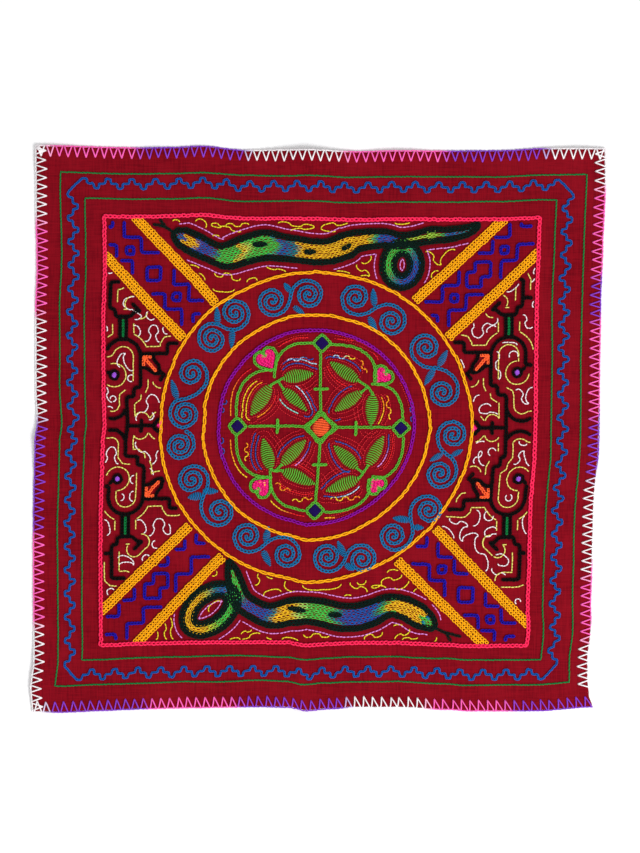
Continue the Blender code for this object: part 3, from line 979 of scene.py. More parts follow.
@dataclass
class Edging:
    """Blanket stitch over the hem, in Vs that share a hole, and the yarn that it carries along the rim.

    A colour table's columns are the share of the way along a side, clockwise, and the colour up to there.
    The profile's are the share of the way out to the rim, the height over the cloth and the share of
    the full thickness.
    """

    pitch: float = 7.9
    depth: float = 8.7
    spread: float = 2.9
    yarn: float = 1.3
    rim_yarn: float = 1.2
    rim_out: float = 0.7
    rim_base: float = -0.85
    rim_share: float = 1.12
    rim_slant: float = 0.25
    profile: Sequence[tuple[float, float, float]] = (
        (0.0, 0.05, 0.8), (0.08, 0.62, 1.0), (0.5, 0.72, 1.0), (0.86, 0.70, 1.0),
        (0.98, 0.25, 1.0), (1.06, -0.55, 0.9),
    )
    place_stray: float = 0.25
    depth_stray: float = 0.035
    spread_stray: float = 0.06
    corner_in: float = 5.6
    corner_aside: float = 1.5
    corner_out: float = 0.8
    white: str = "f4eef1"
    pink: str = "ff66bd"
    purple: str = "8a3fc8"
    blend: float = 0.012

    def sides(self) -> dict[str, Sequence[tuple[float, str]]]:
        """The yarn's colours along each side, clockwise from the top left corner."""
        white, pink, purple = self.white, self.pink, self.purple
        return {
            "top": ((0.02, white), (0.178, pink), (0.37, purple), (0.54, white), (0.72, pink), (0.90, purple),
                    (1.0, white)),
            "right": ((0.07, white), (0.23, pink), (0.31, purple), (0.486, pink), (0.59, purple), (0.766, white),
                      (0.885, pink), (0.964, white)),
            "bottom": ((0.145, purple), (0.294, pink), (0.435, white), (0.634, purple), (0.794, pink),
                       (0.973, purple), (1.0, white)),
            "left": ((0.154, white), (0.316, pink), (0.514, purple), (0.70, white), (0.87, pink), (1.0, white)),
        }

    def shades(self, table: Sequence[tuple[float, str]]) -> Shades:
        """Turns colours up to a share into a table that blends a little where they change."""
        rows = [(0.0, table[0][1])]
        for (end, colour), (_, after) in zip(table, table[1:]):
            rows += [(end - self.blend, colour), (end + self.blend, after)]
        return Shades(rows + [(table[-1][0], table[-1][1])])

    def build(self, bench: Workbench, half: float) -> bpy.types.Object:
        """Stitches the edge.

        Args:
            bench: The cloth's lay and the yarns.
            half: Half a side of the design.

        Returns:
            The edging, which stands for the CAD yarn.
        """
        made = Stitches(seed=11, sides=6)
        count = round(2 * half / self.pitch)
        pitch = 2 * half / count
        way, high, thick = np.array(self.profile).T
        for turn, table in enumerate(self.sides().values()):
            shades = self.shades(table)
            middles = -half + (np.arange(count) + 0.5) * pitch + made.random.normal(0.0, self.place_stray, count)
            kept = (middles + half) / (2 * half) <= table[-1][0] + 1e-6
            middles = middles[kept]
            depth = self.depth * made.random.normal(1.0, self.depth_stray, len(middles))
            tint = shades.along((middles + half) / (2 * half))
            for hand in (-1, 1):
                ends = middles + hand * self.spread * made.random.normal(1.0, self.spread_stray, len(middles))
                paths = np.empty((len(middles), len(way), 3))
                paths[..., 0] = middles[:, None] + (ends - middles)[:, None] * np.minimum(way, 1.0)
                paths[..., 1] = half - depth[:, None] * (1 - way)
                paths[..., 2] = high
                paths[..., :2] = turned(paths[..., :2].reshape(-1, 2), -90 * turn).reshape(*paths.shape[:2], 2)
                made.tubes(paths, self.yarn / 2 * thick, False, tint)
            reach = -half + 2 * half * table[-1][0]
            rim = [(-half - self.rim_out, half + self.rim_out), (reach + self.rim_out, half + self.rim_out)]
            made.running(
                turned(rim, -90 * turn), pitch / 2, self.rim_yarn,
                share=self.rim_share, slant=self.rim_slant, base=self.rim_base, shades=shades,
            )
        aside, out = half - self.corner_aside, half + self.corner_out
        fans = turned([(half - self.corner_in, half - self.corner_in)] * 2, 90)
        tips = turned([(aside, out), (out, aside)], 90)
        made.straight(fans, tips, self.yarn, tint=np.array([linear(self.white)] * 2))
        return bench.sew("edging_stitches", made, Yarn.EDGING, "edge_yarn")


# The border, the frame and the rings


@dataclass
class Border:
    """Two fine green lines with a stepped blue wave between them. Squares: left, right, bottom, top.

    Columns of the levels, from a crest to a trough: height, and half the flat at that height.
    """

    outer: tuple[float, float, float, float] = (-229.0, 234.0, -227.5, 227.5)
    inner: tuple[float, float, float, float] = (-207.3, 208.0, -205.0, 205.0)
    side_points: int = 40
    stray: float = 0.5
    stitch: float = 3.3
    fine_yarn: float = 1.3
    wave_half: float = 218.3
    waves: int = 21
    levels: Sequence[tuple[float, float]] = ((4.4, 2.0), (0.0, 2.6), (-4.4, 2.0))
    link: float = 1.9
    width: float = 2.4
    yarn: float = 1.1

    def square(self, square: tuple[float, float, float, float], wander: float, seed: int) -> list[Array]:
        """The four sides of a hand-stitched square.

        Args:
            square: Its left, right, bottom and top.
            wander: How far the line strays.
            seed: The start of its random draws.

        Returns:
            Four lines.
        """
        left, right, bottom, top = square
        random = np.random.default_rng(seed)
        corners = [(left, bottom), (right, bottom), (right, top), (left, top), (left, bottom)]
        lines = []
        for start, end in zip(corners, corners[1:]):
            count = self.side_points
            line = spaced([start, end], count)
            sway = random.normal(0.0, wander, count) * np.sin(np.linspace(0.0, math.pi, count)) ** 0.3
            lines.append(beside(line, np.convolve(sway, np.ones(3) / 3, "same")))
        return lines

    def wave(self) -> Array:
        """The wave's line round the border, with one flat step on each flank."""
        pitch = 2 * self.wave_half / self.waves
        crest, *steps, trough = self.levels
        gap = (pitch / 2 - crest[1] - trough[1] - 2 * sum(flat for _, flat in steps)) / (len(steps) + 1)
        side: list[Point] = []
        for number in range(1, 2 * self.waves):
            middle = -self.wave_half + number * pitch / 2
            sign = 1 if number % 2 else -1
            depth, flat = crest
            side += [(middle - flat, sign * depth), (middle + flat, sign * depth)]
            if number < 2 * self.waves - 1:
                reach = middle + flat
                for level, half in steps:
                    side += [(reach + gap, sign * level), (reach + gap + 2 * half, sign * level)]
                    reach += gap + 2 * half
        points = [(along, self.wave_half + depth) for along, depth in side]
        return np.vstack([turned(points, -90 * turn) for turn in range(4)])

    def build(self, bench: Workbench) -> None:
        """Stitches both lines and the wave."""
        for name, square, seed in (("border_line_outer", self.outer, 21), ("border_line_inner", self.inner, 22)):
            made = Stitches(seed=seed, sides=5)
            for line in self.square(square, self.stray, seed):
                made.running(line, self.stitch, self.fine_yarn, share=1.2, slant=0.3)
            bench.sew(f"{name}_stitches", made, Yarn.GREEN, name)
        made = Stitches(seed=23)
        made.chain(self.wave(), self.link, self.width, closed=True, yarn=self.yarn, lazy=1.3)
        bench.sew("border_wave_stitches", made, Yarn.BLUE, "border_wave")


@dataclass
class FrameAndBands:
    """The pink frame and the eight orange bands that run from it to the outer ring.

    Columns of the bands' table: name, side of the frame, place along it, ring end across and up.
    """

    square: tuple[float, float, float, float] = (-190.6, 194.0, -192.4, 189.3)
    link: float = 3.8
    width: float = 4.2
    yarn: float = 1.7
    bands: Sequence[tuple[str, str, float, float, float]] = (
        ("band_left_top_upper", "top", -161.7, -91.7, 111.8),
        ("band_left_top_lower", "left", 152.9, -120.1, 80.3),
        ("band_right_top_upper", "top", 160.5, 86.0, 116.2),
        ("band_right_top_lower", "right", 156.5, 115.9, 83.7),
        ("band_left_bottom_upper", "left", -160.9, -111.5, -88.6),
        ("band_left_bottom_lower", "bottom", -156.5, -81.7, -115.5),
        ("band_right_bottom_upper", "right", -171.8, 109.7, -88.6),
        ("band_right_bottom_lower", "bottom", 153.9, 75.9, -118.8),
    )
    row_gap: float = 2.85
    rows: int = 3
    row_link: float = 2.9
    row_width: float = 3.8
    row_yarn: float = 1.4
    clear: float = 2.0

    def row_ends(self, side: str, place: float, ring_end: Point, off: float) -> list[Point]:
        """Ends of one row of a band.

        Args:
            side: Side of the frame where the band ends.
            place: Place of the band's middle line on that side.
            ring_end: Where the middle line starts, at the ring.
            off: Distance of the row from the middle line.

        Returns:
            The row's start and end.
        """
        left, right, bottom, top = self.square
        ends = {
            "left": (left + self.clear, place),
            "right": (right - self.clear, place),
            "bottom": (place, bottom + self.clear),
            "top": (place, top - self.clear),
        }
        start, end = np.array(ring_end), np.array(ends[side])
        along = (end - start) / np.linalg.norm(end - start)
        across = np.array([-along[1], along[0]])
        cut = np.array([0.0, 1.0] if side in ("left", "right") else [1.0, 0.0])
        return [start + across * off - along * 0.5, end + cut * off / cut.dot(across)]

    def build(self, bench: Workbench) -> None:
        """Stitches the frame and the bands."""
        left, right, bottom, top = self.square
        made = Stitches(seed=31)
        corners = [(left, bottom), (right, bottom), (right, top), (left, top), (left, bottom)]
        for start, end in zip(corners, corners[1:]):
            made.chain([start, end], self.link, self.width, yarn=self.yarn)
        bench.sew("frame_stitches", made, Yarn.PINK, "frame_band")
        for number, (name, side, place, across, up) in enumerate(self.bands):
            made = Stitches(seed=32 + number, sides=4)
            for row in range(self.rows):
                off = (row - (self.rows - 1) / 2) * self.row_gap
                line = self.row_ends(side, place, (across, up), off)
                made.chain(line, self.row_link, self.row_width, yarn=self.row_yarn, base=0.1 * (row % 2), lazy=1.4)
            bench.sew(f"{name}_stitches", made, Yarn.ORANGE, name)


@dataclass
class Rings:
    """Two orange rings in long beaded links, a purple one, and the spirals between the orange ones.

    Columns of the pairs: the hearts of two spirals, across and up, where their arms meet, and the
    way that they wind in: -1 clockwise, 1 the other. Columns of the leaves: across and up at the
    stem, across and up at the tip, greatest width.
    """

    middle: Point = (-1.2, 2.5)
    outer: float = 138.8
    inner: float = 100.8
    purple: float = 87.1
    long_link: float = 7.4
    long_width: float = 3.2
    heart_radius: float = 1.3
    turns: float = 2.5
    coil_radius: float = 13.8
    spiral_link: float = 3.4
    spiral_width: float = 3.7
    pairs: Sequence[tuple[Point, Point, Point, int]] = (
        ((-94, 79), (-74, 104), (-84, 90), 1), ((-41, 115), (-9, 121), (-25, 119), -1),
        ((33, 119), (65, 97), (49, 108), -1), ((96, 74), (111, 34), (106, 56), -1),
        ((121, -4), (111, -39), (120, -24), -1), ((103, -72), (72, -96), (88, -84), -1),
        ((44, -117), (13, -114), (29, -117), -1), ((-24, -113), (-59, -97), (-43, -104), -1),
        ((-84, -75), (-110, -47), (-98, -59), 1), ((-119, 12), (-112, 48), (-125, 25), 1),
    )
    lone: tuple[Point, Point, int] = ((-122, -16), (-118, -3), -1)
    leaves: Sequence[tuple[float, float, float, float, float]] = (
        (-89, 92, -90, 108, 6.0), (-76, 89, -77, 72, 5.8), (-25, 123, -31, 131, 5.4), (-22, 110, -12, 103, 5.4),
        (-125, 25, -130, 43, 6.2), (50, 111, 48, 127, 6.2), (45, 102, 52, 88, 6.0), (107, 57, 115, 72, 6.4),
        (104, 56, 95, 40, 6.2), (120, -23, 130, -17, 5.2), (112, -21, 101, -28, 5.4), (-100, -57, -86, -57, 6.4),
        (-99, -61, -113, -63, 7.4), (-43, -103, -40, -88, 6.6), (-45, -110, -38, -124, 6.6), (87, -82, 71, -80, 6.6),
        (89, -88, 99, -88, 5.4), (28, -114, 22, -100, 6.6), (29, -121, 37, -127, 6.0),
    )

    def coil(self, heart: Array, start: Array, hand: int) -> Array:
        """A spiral from the end of its arm to its heart.

        Args:
            heart: The spiral's middle.
            start: Where its arm starts.
            hand: -1 for a spiral that winds in clockwise, 1 for the other.

        Returns:
            The spiral's points.
        """
        arm = start - heart
        way = np.linspace(0.0, 1.0, 90)
        reach = np.linalg.norm(arm)
        first = min(reach, self.coil_radius)
        radius = first + (self.heart_radius - first) * way + (reach - first) * np.exp(-16 * way)
        angle = math.atan2(arm[1], arm[0]) + hand * way * self.turns * 2 * math.pi
        return heart + np.column_stack([np.cos(angle), np.sin(angle)]) * radius[:, None]

    def build(self, bench: Workbench) -> None:
        """Stitches the three rings, the spirals and their leaves."""
        for name, radius, link, width, yarn in (
            ("ring_outer", self.outer, self.long_link, self.long_width, Yarn.ORANGE),
            ("ring_inner", self.inner, self.long_link, self.long_width, Yarn.ORANGE),
            ("ring_purple", self.purple, 3.7, 3.5, Yarn.PURPLE),
        ):
            made = Stitches(seed=round(radius))
            made.chain(circle(self.middle, radius, count=180), link, width, closed=True, yarn=1.35)
            bench.sew(f"{name}_stitches", made, yarn, name)
        coils, leaves = Stitches(seed=41), Stitches(seed=42, sides=5)
        for first, second, meeting, hand in self.pairs:
            start = np.array(meeting, float)
            inward = self.coil(np.array(second, float), start, hand)
            outward = self.coil(np.array(first, float), start, hand)[::-1]
            coils.chain(np.vstack([outward, inward[1:]]), self.spiral_link, self.spiral_width)
        heart, start, hand = self.lone
        single = self.coil(np.array(heart, float), np.array(start, float), hand)
        coils.chain(single, self.spiral_link, self.spiral_width)
        for across, up, far_across, far_up, width in self.leaves:
            leaves.leaf((across, up), (far_across, far_up), width, pitch=1.5, yarn=1.15)
        bench.sew("spirals", coils, Yarn.TEAL)
        bench.sew("spiral_leaves", leaves, Yarn.TEAL)


# The serpents


@dataclass
class Serpent:
    """One serpent: a body with a loop, edged with dark chain stitch and filled with changing rows.

    Columns of the body's table: across, up and half width. The loop's: its middle across and up,
    its half axes and its turn in degrees. An island's: across, up, half length and direction.
    """

    name: str
    body: Sequence[tuple[float, float, float]]
    loop: tuple[float, float, float, float, float]
    body_shades: Shades
    loop_shades: Shades
    islands: Sequence[tuple[float, float, float, float]]
    tongue: Sequence[Line]
    seed: int
    eyes: Sequence[Point] = ()
    loop_half_width: float = 5.8
    edge_width: float = 3.6
    edge_insets: Sequence[float] = (1.9, -0.9)
    island_half: float = 1.3
    edge_link: float = 3.5
    edge_yarn: float = 1.5
    eye_radius: float = 1.7
    most_rows: int = 4
    row_gap: float = 2.75
    row_width: float = 2.9
    row_link: float = 4.1
    row_yarn: float = 0.95
    row_clear: float = 0.8
    row_room: float = 0.25

    def spine(self) -> tuple[Array, Array]:
        """The body's middle line, and its half width at each point of it."""
        table = np.array(self.body)
        middle = eased(table[:, :2], steps=8)
        half = np.interp(np.linspace(0, len(table) - 1, len(middle)), np.arange(len(table)), table[:, 2])
        return middle, half

    def ring(self) -> Array:
        """The middle line of the loop."""
        across, up, long_axis, short_axis, degrees = self.loop
        return turned(circle((0, 0), 1.0, count=96) * (long_axis, short_axis), degrees, (across, up))

    def fill(self, made: Stitches, middle: Array, half: Array, shades: Shades, closed: bool) -> None:
        """Adds rows of open links between a body's two edges, wherever they have room.

        Args:
            made: Takes the stitches.
            middle: The body's middle line.
            half: Its half width at each point.
            shades: The yarn's colours along it.
            closed: Whether it is a loop.
        """
        room = half - self.edge_insets[0] - self.row_clear
        for row in range(-self.most_rows, self.most_rows + 1):
            off = row * self.row_gap
            line = beside(middle, off, closed)
            fits = room >= abs(off) + self.row_room
            if closed:
                if fits.all():
                    made.chain(line, self.row_link, self.row_width, True, self.row_yarn, shades=shades)
                continue
            marks = np.flatnonzero(np.diff(np.concatenate([[0], fits.astype(int), [0]])))
            for start, end in zip(marks[::2], marks[1::2]):
                if end - start > 4:
                    part = shades.between(start / len(line), end / len(line))
                    made.chain(line[start:end], self.row_link, self.row_width, False, self.row_yarn, shades=part)

    def build(self, bench: Workbench) -> None:
        """Stitches the serpent."""
        edge, filling = Stitches(seed=self.seed), Stitches(seed=self.seed + 1, sides=4)
        middle, half = self.spine()
        ring = self.ring()
        for inset in self.edge_insets:
            near = np.maximum(half - inset, 0.6)
            left, right = beside(middle, near), beside(middle, -near)
            outline = np.vstack([left, right[::-1]])
            edge.chain(outline, self.edge_link, self.edge_width, closed=True, yarn=self.edge_yarn, base=0.2)
        self.fill(filling, middle, half, self.body_shades, False)
        for inset in self.edge_insets:
            for hand in (1, -1):
                off = hand * (self.loop_half_width - inset)
                line = beside(ring, off, True)
                edge.chain(line, self.edge_link, self.edge_width, closed=True, yarn=self.edge_yarn)
        self.fill(filling, ring, np.full(len(ring), self.loop_half_width), self.loop_shades, True)
        for place, high, reach, way in self.islands:
            lens = turned(circle((0, 0), 1.0, count=24) * (reach, self.island_half), way, (place, high))
            edge.chain(lens, 3.0, 2.9, closed=True, base=0.8)
        if self.eyes:
            eyes = Stitches(seed=self.seed + 3)
            for place in self.eyes:
                eyes.filled(circle(place, self.eye_radius, count=16), 30.0, 0.9, 1.0, 8.0)
            bench.sew(f"{self.name}_eyes", eyes, Yarn.BLUE)
        bench.sew(f"{self.name}_edges", edge, Yarn.BOTTLE_GREEN, self.name)
        bench.sew(f"{self.name}_filling", filling, Yarn.CHANGING, self.name)
        tongue = Stitches(seed=self.seed + 2)
        for line in self.tongue:
            tongue.chain(line, 3.2, 3.2)
        bench.sew(f"{self.name}_tongue", tongue, Yarn.BOTTLE_GREEN)


def serpents() -> list[Serpent]:
    """Both serpents: one above the rings, its head at the left, and one below, its head at the right."""
    leaf, yellow, blue, teal = "46c84e", "f6c024", "1058b0", "0c8488"
    return [
        Serpent(
            "serpent_top",
            (
                (-129.0, 174.5, 2.6), (-122.1, 170.2, 7.6), (-109.1, 162.6, 8.8), (-93.6, 155.6, 8.2),
                (-82.9, 154.0, 10.0), (-68.1, 160.0, 11.3), (-49.8, 164.9, 12.2), (-32.0, 162.8, 10.4),
                (-9.5, 160.0, 9.8), (8.9, 160.4, 9.6), (23.5, 166.1, 10.4), (34.6, 170.6, 8.0),
                (56.5, 172.0, 6.8), (69.8, 169.8, 5.6), (83.1, 171.5, 4.9), (98.8, 174.9, 6.0),
                (114.6, 175.9, 4.9), (130.3, 179.0, 4.0), (141.0, 184.6, 1.2),
            ),
            (73.2, 148.1, 12.3, 15.6, 0.0),
            Shades([
                (0.0, teal), (0.045, blue), (0.055, yellow), (0.092, yellow), (0.10, blue), (0.14, blue),
                (0.16, teal), (0.17, leaf), (0.23, leaf), (0.24, yellow), (0.26, "c8e060"), (0.28, leaf),
                (0.35, leaf), (0.365, blue), (0.41, teal), (0.425, yellow), (0.635, yellow), (0.65, leaf),
                (0.67, blue), (0.72, blue), (0.735, leaf), (0.755, leaf), (0.77, "b8d840"), (0.86, "9ad84a"),
                (0.87, leaf), (0.89, blue), (1.0, "48a868"),
            ]),
            Shades([(0.0, blue), (0.12, teal), (0.22, leaf), (0.58, leaf), (0.68, teal), (0.76, blue), (1.0, blue)]),
            ((-53.0, 166.0, 6.0, 0.0), (-9.0, 159.5, 5.0, 5.0), (23.5, 164.5, 4.5, 32.0)),
            (((-128.3, 174.2), (-136.9, 180.0), (-146.8, 182.3)), ((-136.9, 180.0), (-141.2, 186.3))),
            seed=51,
        ),
        Serpent(
            "serpent_bottom",
            (
                (109.6, -177.6, 2.4), (104.5, -173.0, 7.0), (96.2, -167.7, 10.0), (83.7, -161.4, 9.0),
                (69.0, -159.0, 8.4), (53.6, -165.4, 10.0), (39.8, -169.2, 10.8), (26.0, -168.9, 11.0),
                (12.3, -165.1, 10.6), (-4.9, -161.2, 10.2), (-18.7, -164.5, 10.5), (-37.0, -168.6, 9.5),
                (-50.8, -163.9, 8.0), (-63.5, -154.9, 8.2), (-68.6, -141.0, 6.4), (-71.8, -130.2, 5.4),
                (-75.2, -118.6, 1.0),
            ),
            (-91.9, -163.2, 23.4, 14.0, 38.0),
            Shades([
                (0.0, leaf), (0.075, leaf), (0.085, yellow), (0.22, yellow), (0.235, leaf), (0.27, teal),
                (0.29, blue), (0.41, blue), (0.43, teal), (0.47, leaf), (0.545, leaf), (0.58, "b0e070"),
                (0.61, yellow), (0.67, yellow), (0.69, teal), (0.715, blue), (0.80, blue), (0.83, "2a7a70"),
                (0.85, leaf), (1.0, leaf),
            ]),
            Shades([
                (0.0, leaf), (0.06, blue), (0.14, teal), (0.2, "c8c840"), (0.26, yellow), (0.62, yellow),
                (0.68, "b8d840"), (0.75, leaf), (1.0, leaf),
            ]),
            ((-14.0, -161.5, 7.5, 2.0), (20.5, -166.5, 5.5, -6.0)),
            (((108.6, -177.1), (120.1, -182.1), (133.5, -184.3)), ((120.1, -182.1), (124.4, -188.8))),
            seed=55,
            eyes=((104.0, -169.0), (100.0, -173.5)),
        ),
    ]


# Fine stitching: wandering lines, hooks and echoes of the large figures

# Round an end, a line turns from this many degrees left of its way, by this many.
CAP_START, CAP_SWEEP = 80.0, -160.0
# Two points of a line further apart than this aren't joined.
LONGEST_STEP = 9.0
# Lines that are cut to fit have a point about every so many millimetres.
CLOSE_STEP = 0.8

# Each row was fitted to one squiggle of the real cloth. Its ends, lobes and size are measured, and its
# shape is the function's. Columns of a wandering line: across and up at its start, across and up at its
# end, lobes, and how far the first lobe swings to the left. Of a hook: across and up of its middle,
# radius, start, sweep.
WHITE_WANDERERS = (
    (-154, 114, -173, 113, 1, -4.5), (-173, 113, -157, 101, 2, -2.6), (-157, 101, -163, 98, 1, 1.8),
    (-151, 105, -145, 98, 1, -4.5), (-164, 92, -161, 82, 1, 4.5), (-154, 78, -145, 92, 2, -2.7),
    (-145, 92, -141, 77, 2, 1.8), (-136, 91, -134, 84, 1, -2.7), (-191, 93, -192, 85, 1, 4.5),
    (-176, 55, -171, 67, 1, 4.5), (-171, 67, -164, 52, 1, -4.5), (-191, 39, -183, 24, 2, 2),
    (-189, 18, -183, 18, 1, 2), (-142, 13, -147, 30, 1, -3.5), (-147, 30, -162, 7, 3, -2.4),
    (-151, 8, -148, 14, 1, -2.7), (-191, -32, -182, -16, 2, -2.1), (-182, -16, -176, -31, 2, 1.8),
    (-161, -12, -148, -30, 2, -2.5), (-139, -19, -146, -32, 2, -1.4), (-136, -32, -139, -34, 1, -1.6),
    (-148, -36, -146, -48, 1, 2.5), (-162, -42, -162, -49, 1, -3), (-162, -56, -162, -65, 1, -3),
    (-172, -58, -173, -64, 1, 2.5), (-188, -81, -185, -95, 1, 4), (-158, -82, -152, -94, 1, 4.5),
    (-147, -96, -139, -81, 2, -1.8), (-139, -81, -129, -95, 2, 2.6), (-129, -95, -130, -86, 1, -1.4),
    (-175, -115, -161, -122, 1, 4.5), (-161, -122, -174, -122, 1, -3), (-147, -114, -152, -119, 1, -3.5),
    (-178, -144, -184, -148, 1, -4.1), (194, 146, 188, 132, 2, -1.9), (177, 134, 166, 125, 1, 3.8),
    (192, 115, 192, 109, 1, -2), (182, 103, 187, 91, 2, 1.7), (187, 91, 193, 96, 1, -1.8),
    (135, 100, 140, 84, 2, 1.8), (140, 84, 159, 101, 3, -3), (150, 88, 158, 93, 1, 3), (160, 76, 177, 76, 1, 3),
    (159, 71, 161, 46, 3, 2), (118, 73, 121, 69, 1, 1), (126, 64, 130, 56, 1, 1), (133, 39, 138, 38, 1, -2.5),
    (144, 32, 141, 16, 1, -4.5), (154, 22, 144, 17, 1, -4.5), (144, 17, 160, 15, 2, -1), (176, 36, 188, 24, 2, 3),
    (188, 24, 192, 38, 1, 4.5), (180, -10, 187, -12, 1, -2.7), (176, -30, 185, -19, 2, -2.3),
    (185, -19, 190, -32, 1, -1.6), (142, -11, 149, -10, 1, 1), (141, -29, 146, -18, 2, 2.1),
    (146, -18, 150, -31, 1, -3.6), (189, -77, 192, -93, 1, -3), (154, -79, 156, -72, 1, 2.1),
    (153, -76, 161, -76, 1, -4.5), (146, -71, 143, -85, 1, 4.5), (164, -88, 154, -94, 1, -4.5),
    (154, -94, 165, -93, 2, -1), (122, -79, 138, -86, 2, -2.7), (138, -86, 134, -99, 1, -4.5),
    (134, -99, 148, -94, 1, 4.5), (148, -94, 154, -126, 2, -4.5), (114, -87, 125, -99, 1, 4.5),
    (161, -123, 174, -133, 2, -2.6), (164, -111, 175, -119, 1, 4), (175, -119, 166, -119, 1, 2),
)
WHITE_HOOKS = (
    (-186, 142, 3.5, 130, 220), (-166, 45, 3, 60, 230), (-182, 27, 2.5, -100, 300), (-141, -104, 3.5, 100, 260),
    (174, 67, 4, -160, -220), (156, -19, 3.5, -120, -230), (174, -60, 3, 60, -290), (185, -153, 2.5, -10, 250),
)
YELLOW_WANDERERS = (
    (-130, 185, -124, 184, 1, 1.5), (-110, 184, -101, 178, 1, 4.4), (-63, 184, -96, 181, 5, -1.4),
    (-96, 181, -70, 178, 3, -1.3), (-95, 171, -89, 171, 1, 1), (-37, 185, -5, 182, 3, 1.5),
    (-5, 182, -26, 178, 2, 1), (26, 189, 1, 181, 2, 2.2), (1, 181, 14, 179, 1, -1.7), (66, 186, 80, 187, 1, -1.8),
    (109, 188, 120, 188, 1, 1), (-125, 155, -117, 150, 1, -2.6), (-117, 145, -107, 142, 1, 1),
    (-110, 136, -103, 128, 1, 4.5), (-93, 138, -70, 135, 3, -2.4), (-64, 132, -47, 137, 2, 2.4),
    (-47, 146, -30, 141, 2, -1), (-94, 124, -75, 125, 1, -2.6), (14, 142, 28, 140, 1, 1.8),
    (45, 157, 37, 151, 1, 3.6), (33, 149, 44, 138, 2, -2.1), (44, 138, 33, 137, 1, -1.6),
    (94, 160, 108, 149, 2, 2.3), (108, 149, 120, 162, 1, 4.5), (101, 135, 107, 142, 1, 4.5),
    (-58, -124, -58, -130, 1, 1), (-45, -129, -52, -141, 2, -2.4), (-43, -128, -16, -145, 3, -3.6),
    (-44, -151, -28, -147, 1, 4), (-9, -139, 26, -139, 1, -4.5), (-64, -185, -55, -181, 2, 1.2),
    (-75, -191, -47, -185, 3, 1.5), (-41, -188, -12, -190, 2, -1.5), (-8, -183, 15, -185, 3, -1.7),
    (-141, -180, -141, -189, 1, 2), (-134, -174, -131, -189, 2, 1.4), (-129, -169, -125, -189, 2, 1.6),
    (-93, -165, -82, -156, 1, 3.8), (29, -150, 35, -150, 1, 1), (34, -138, 49, -147, 2, -2.4),
    (40, -138, 48, -136, 1, -2.9), (67, -129, 80, -131, 1, 3.3), (80, -131, 53, -142, 3, 2.5),
    (53, -142, 66, -143, 1, 1.8), (74, -143, 86, -134, 1, -4.5), (91, -146, 102, -149, 1, 4.2),
    (73, -177, 81, -177, 1, 1), (87, -180, 75, -190, 2, 2.3), (75, -190, 95, -187, 3, -1),
    (63, -183, 39, -192, 3, 2.6), (100, -192, 112, -186, 1, -3.1), (133, -191, 138, -191, 1, 1),
    (143, -187, 143, -191, 1, -2),
)
YELLOW_HOOKS = (
    (-92, 121, 3, 10, -240), (-89, -130, 3, -170, -320),
)


def wander(start: Point, end: Point, lobes: float, swing: float) -> Array:
    """A line that wanders from side to side in round lobes.

    Args:
        start: Its first point.
        end: Its last point.
        lobes: How many lobes it has.
        swing: How far a lobe reaches, with the first to the left if it is positive.

    Returns:
        The line's points.
    """
    first, reach = np.array(start, float), np.subtract(end, start).astype(float)
    left = np.array([-reach[1], reach[0]]) / np.linalg.norm(reach)
    way = np.linspace(0.0, 1.0, int(lobes) * 12 + 1)
    lean = way - 0.13 * np.sin(2 * math.pi * lobes * way) / lobes
    return first + reach * lean[:, None] + left * (swing * np.sin(math.pi * lobes * way))[:, None]


def outlined(line: Array, gap: float) -> Array:
    """A closed line all round another, round its ends too.

    Args:
        line: The line, with its points close together.
        gap: The distance to it.

    Returns:
        The outline's points.
    """
    out, back = line[-1] - line[-2], line[0] - line[1]
    caps = [
        circle(tuple(end), gap, math.degrees(math.atan2(way[1], way[0])) + CAP_START, CAP_SWEEP, 12)
        for end, way in ((line[-1], out), (line[0], back))
    ]
    return np.vstack([beside(line, gap), caps[0], beside(line, -gap)[::-1], caps[1]])


def clear_parts(
    line: Array, keep: Sequence[tuple[Array, float]], box: Sequence[float], least: float = 7.0
) -> list[Array]:
    """The stretches of a line that stay clear of other lines and inside a box.

    Args:
        line: The line.
        keep: Points of the other lines, with the distance to keep from them.
        box: Left, right, bottom and top.
        least: The shortest stretch worth stitching.

    Returns:
        The stretches.
    """
    left, right, bottom, top = box
    free = (line[:, 0] > left) & (line[:, 0] < right) & (line[:, 1] > bottom) & (line[:, 1] < top)
    for others, gap in keep:
        free &= np.linalg.norm(line[:, None] - others[None], axis=2).min(axis=1) >= gap
    jumps = np.linalg.norm(np.diff(line, axis=0), axis=1) > LONGEST_STEP
    group = np.cumsum(np.concatenate([[0], (free[1:] != free[:-1]) | jumps]))
    parts = [line[(group == number) & free] for number in range(group[-1] + 1)]
    return [part for part in parts if len(part) > 2 and run_of(part)[-1] >= least]


@dataclass
class FineLines:
    """Fine lines in running stitch, in yarns that change along them."""

    name: str
    seed: int
    width: float = 1.3
    pitch: float = 3.0
    share: float = 0.84

    dyes = {
        "blue": "1450a8", "pale": "b4d8ee", "sea": "8fdcd0", "gold": "f6d028", "amber": "f8981c", "red": "e02028",
        "lilac": "e08ada", "lemon": "ecd82c", "pear": "e8e070", "white": "f4ebf0",
    }

    def __post_init__(self) -> None:
        """Starts the piece's stitches."""
        self.made = Stitches(seed=self.seed, sides=4)

    def add(self, line: Array, first: str, last: str | None = None) -> None:
        """Stitches one line.

        Args:
            line: Its points.
            first: The dye at its start.
            last: The dye at its end, if another.
        """
        start, end = self.dyes[first], self.dyes[last or first]
        shades = Shades([(0.0, start), (0.35, start), (0.75, end), (1.0, end)])
        self.made.running(line, self.pitch, self.width, self.share, shades=shades)

    def sew(self, bench: Workbench) -> None:
        """Fixes the lines to the cloth as one piece."""
        bench.sew(self.name, self.made, Yarn.CHANGING)


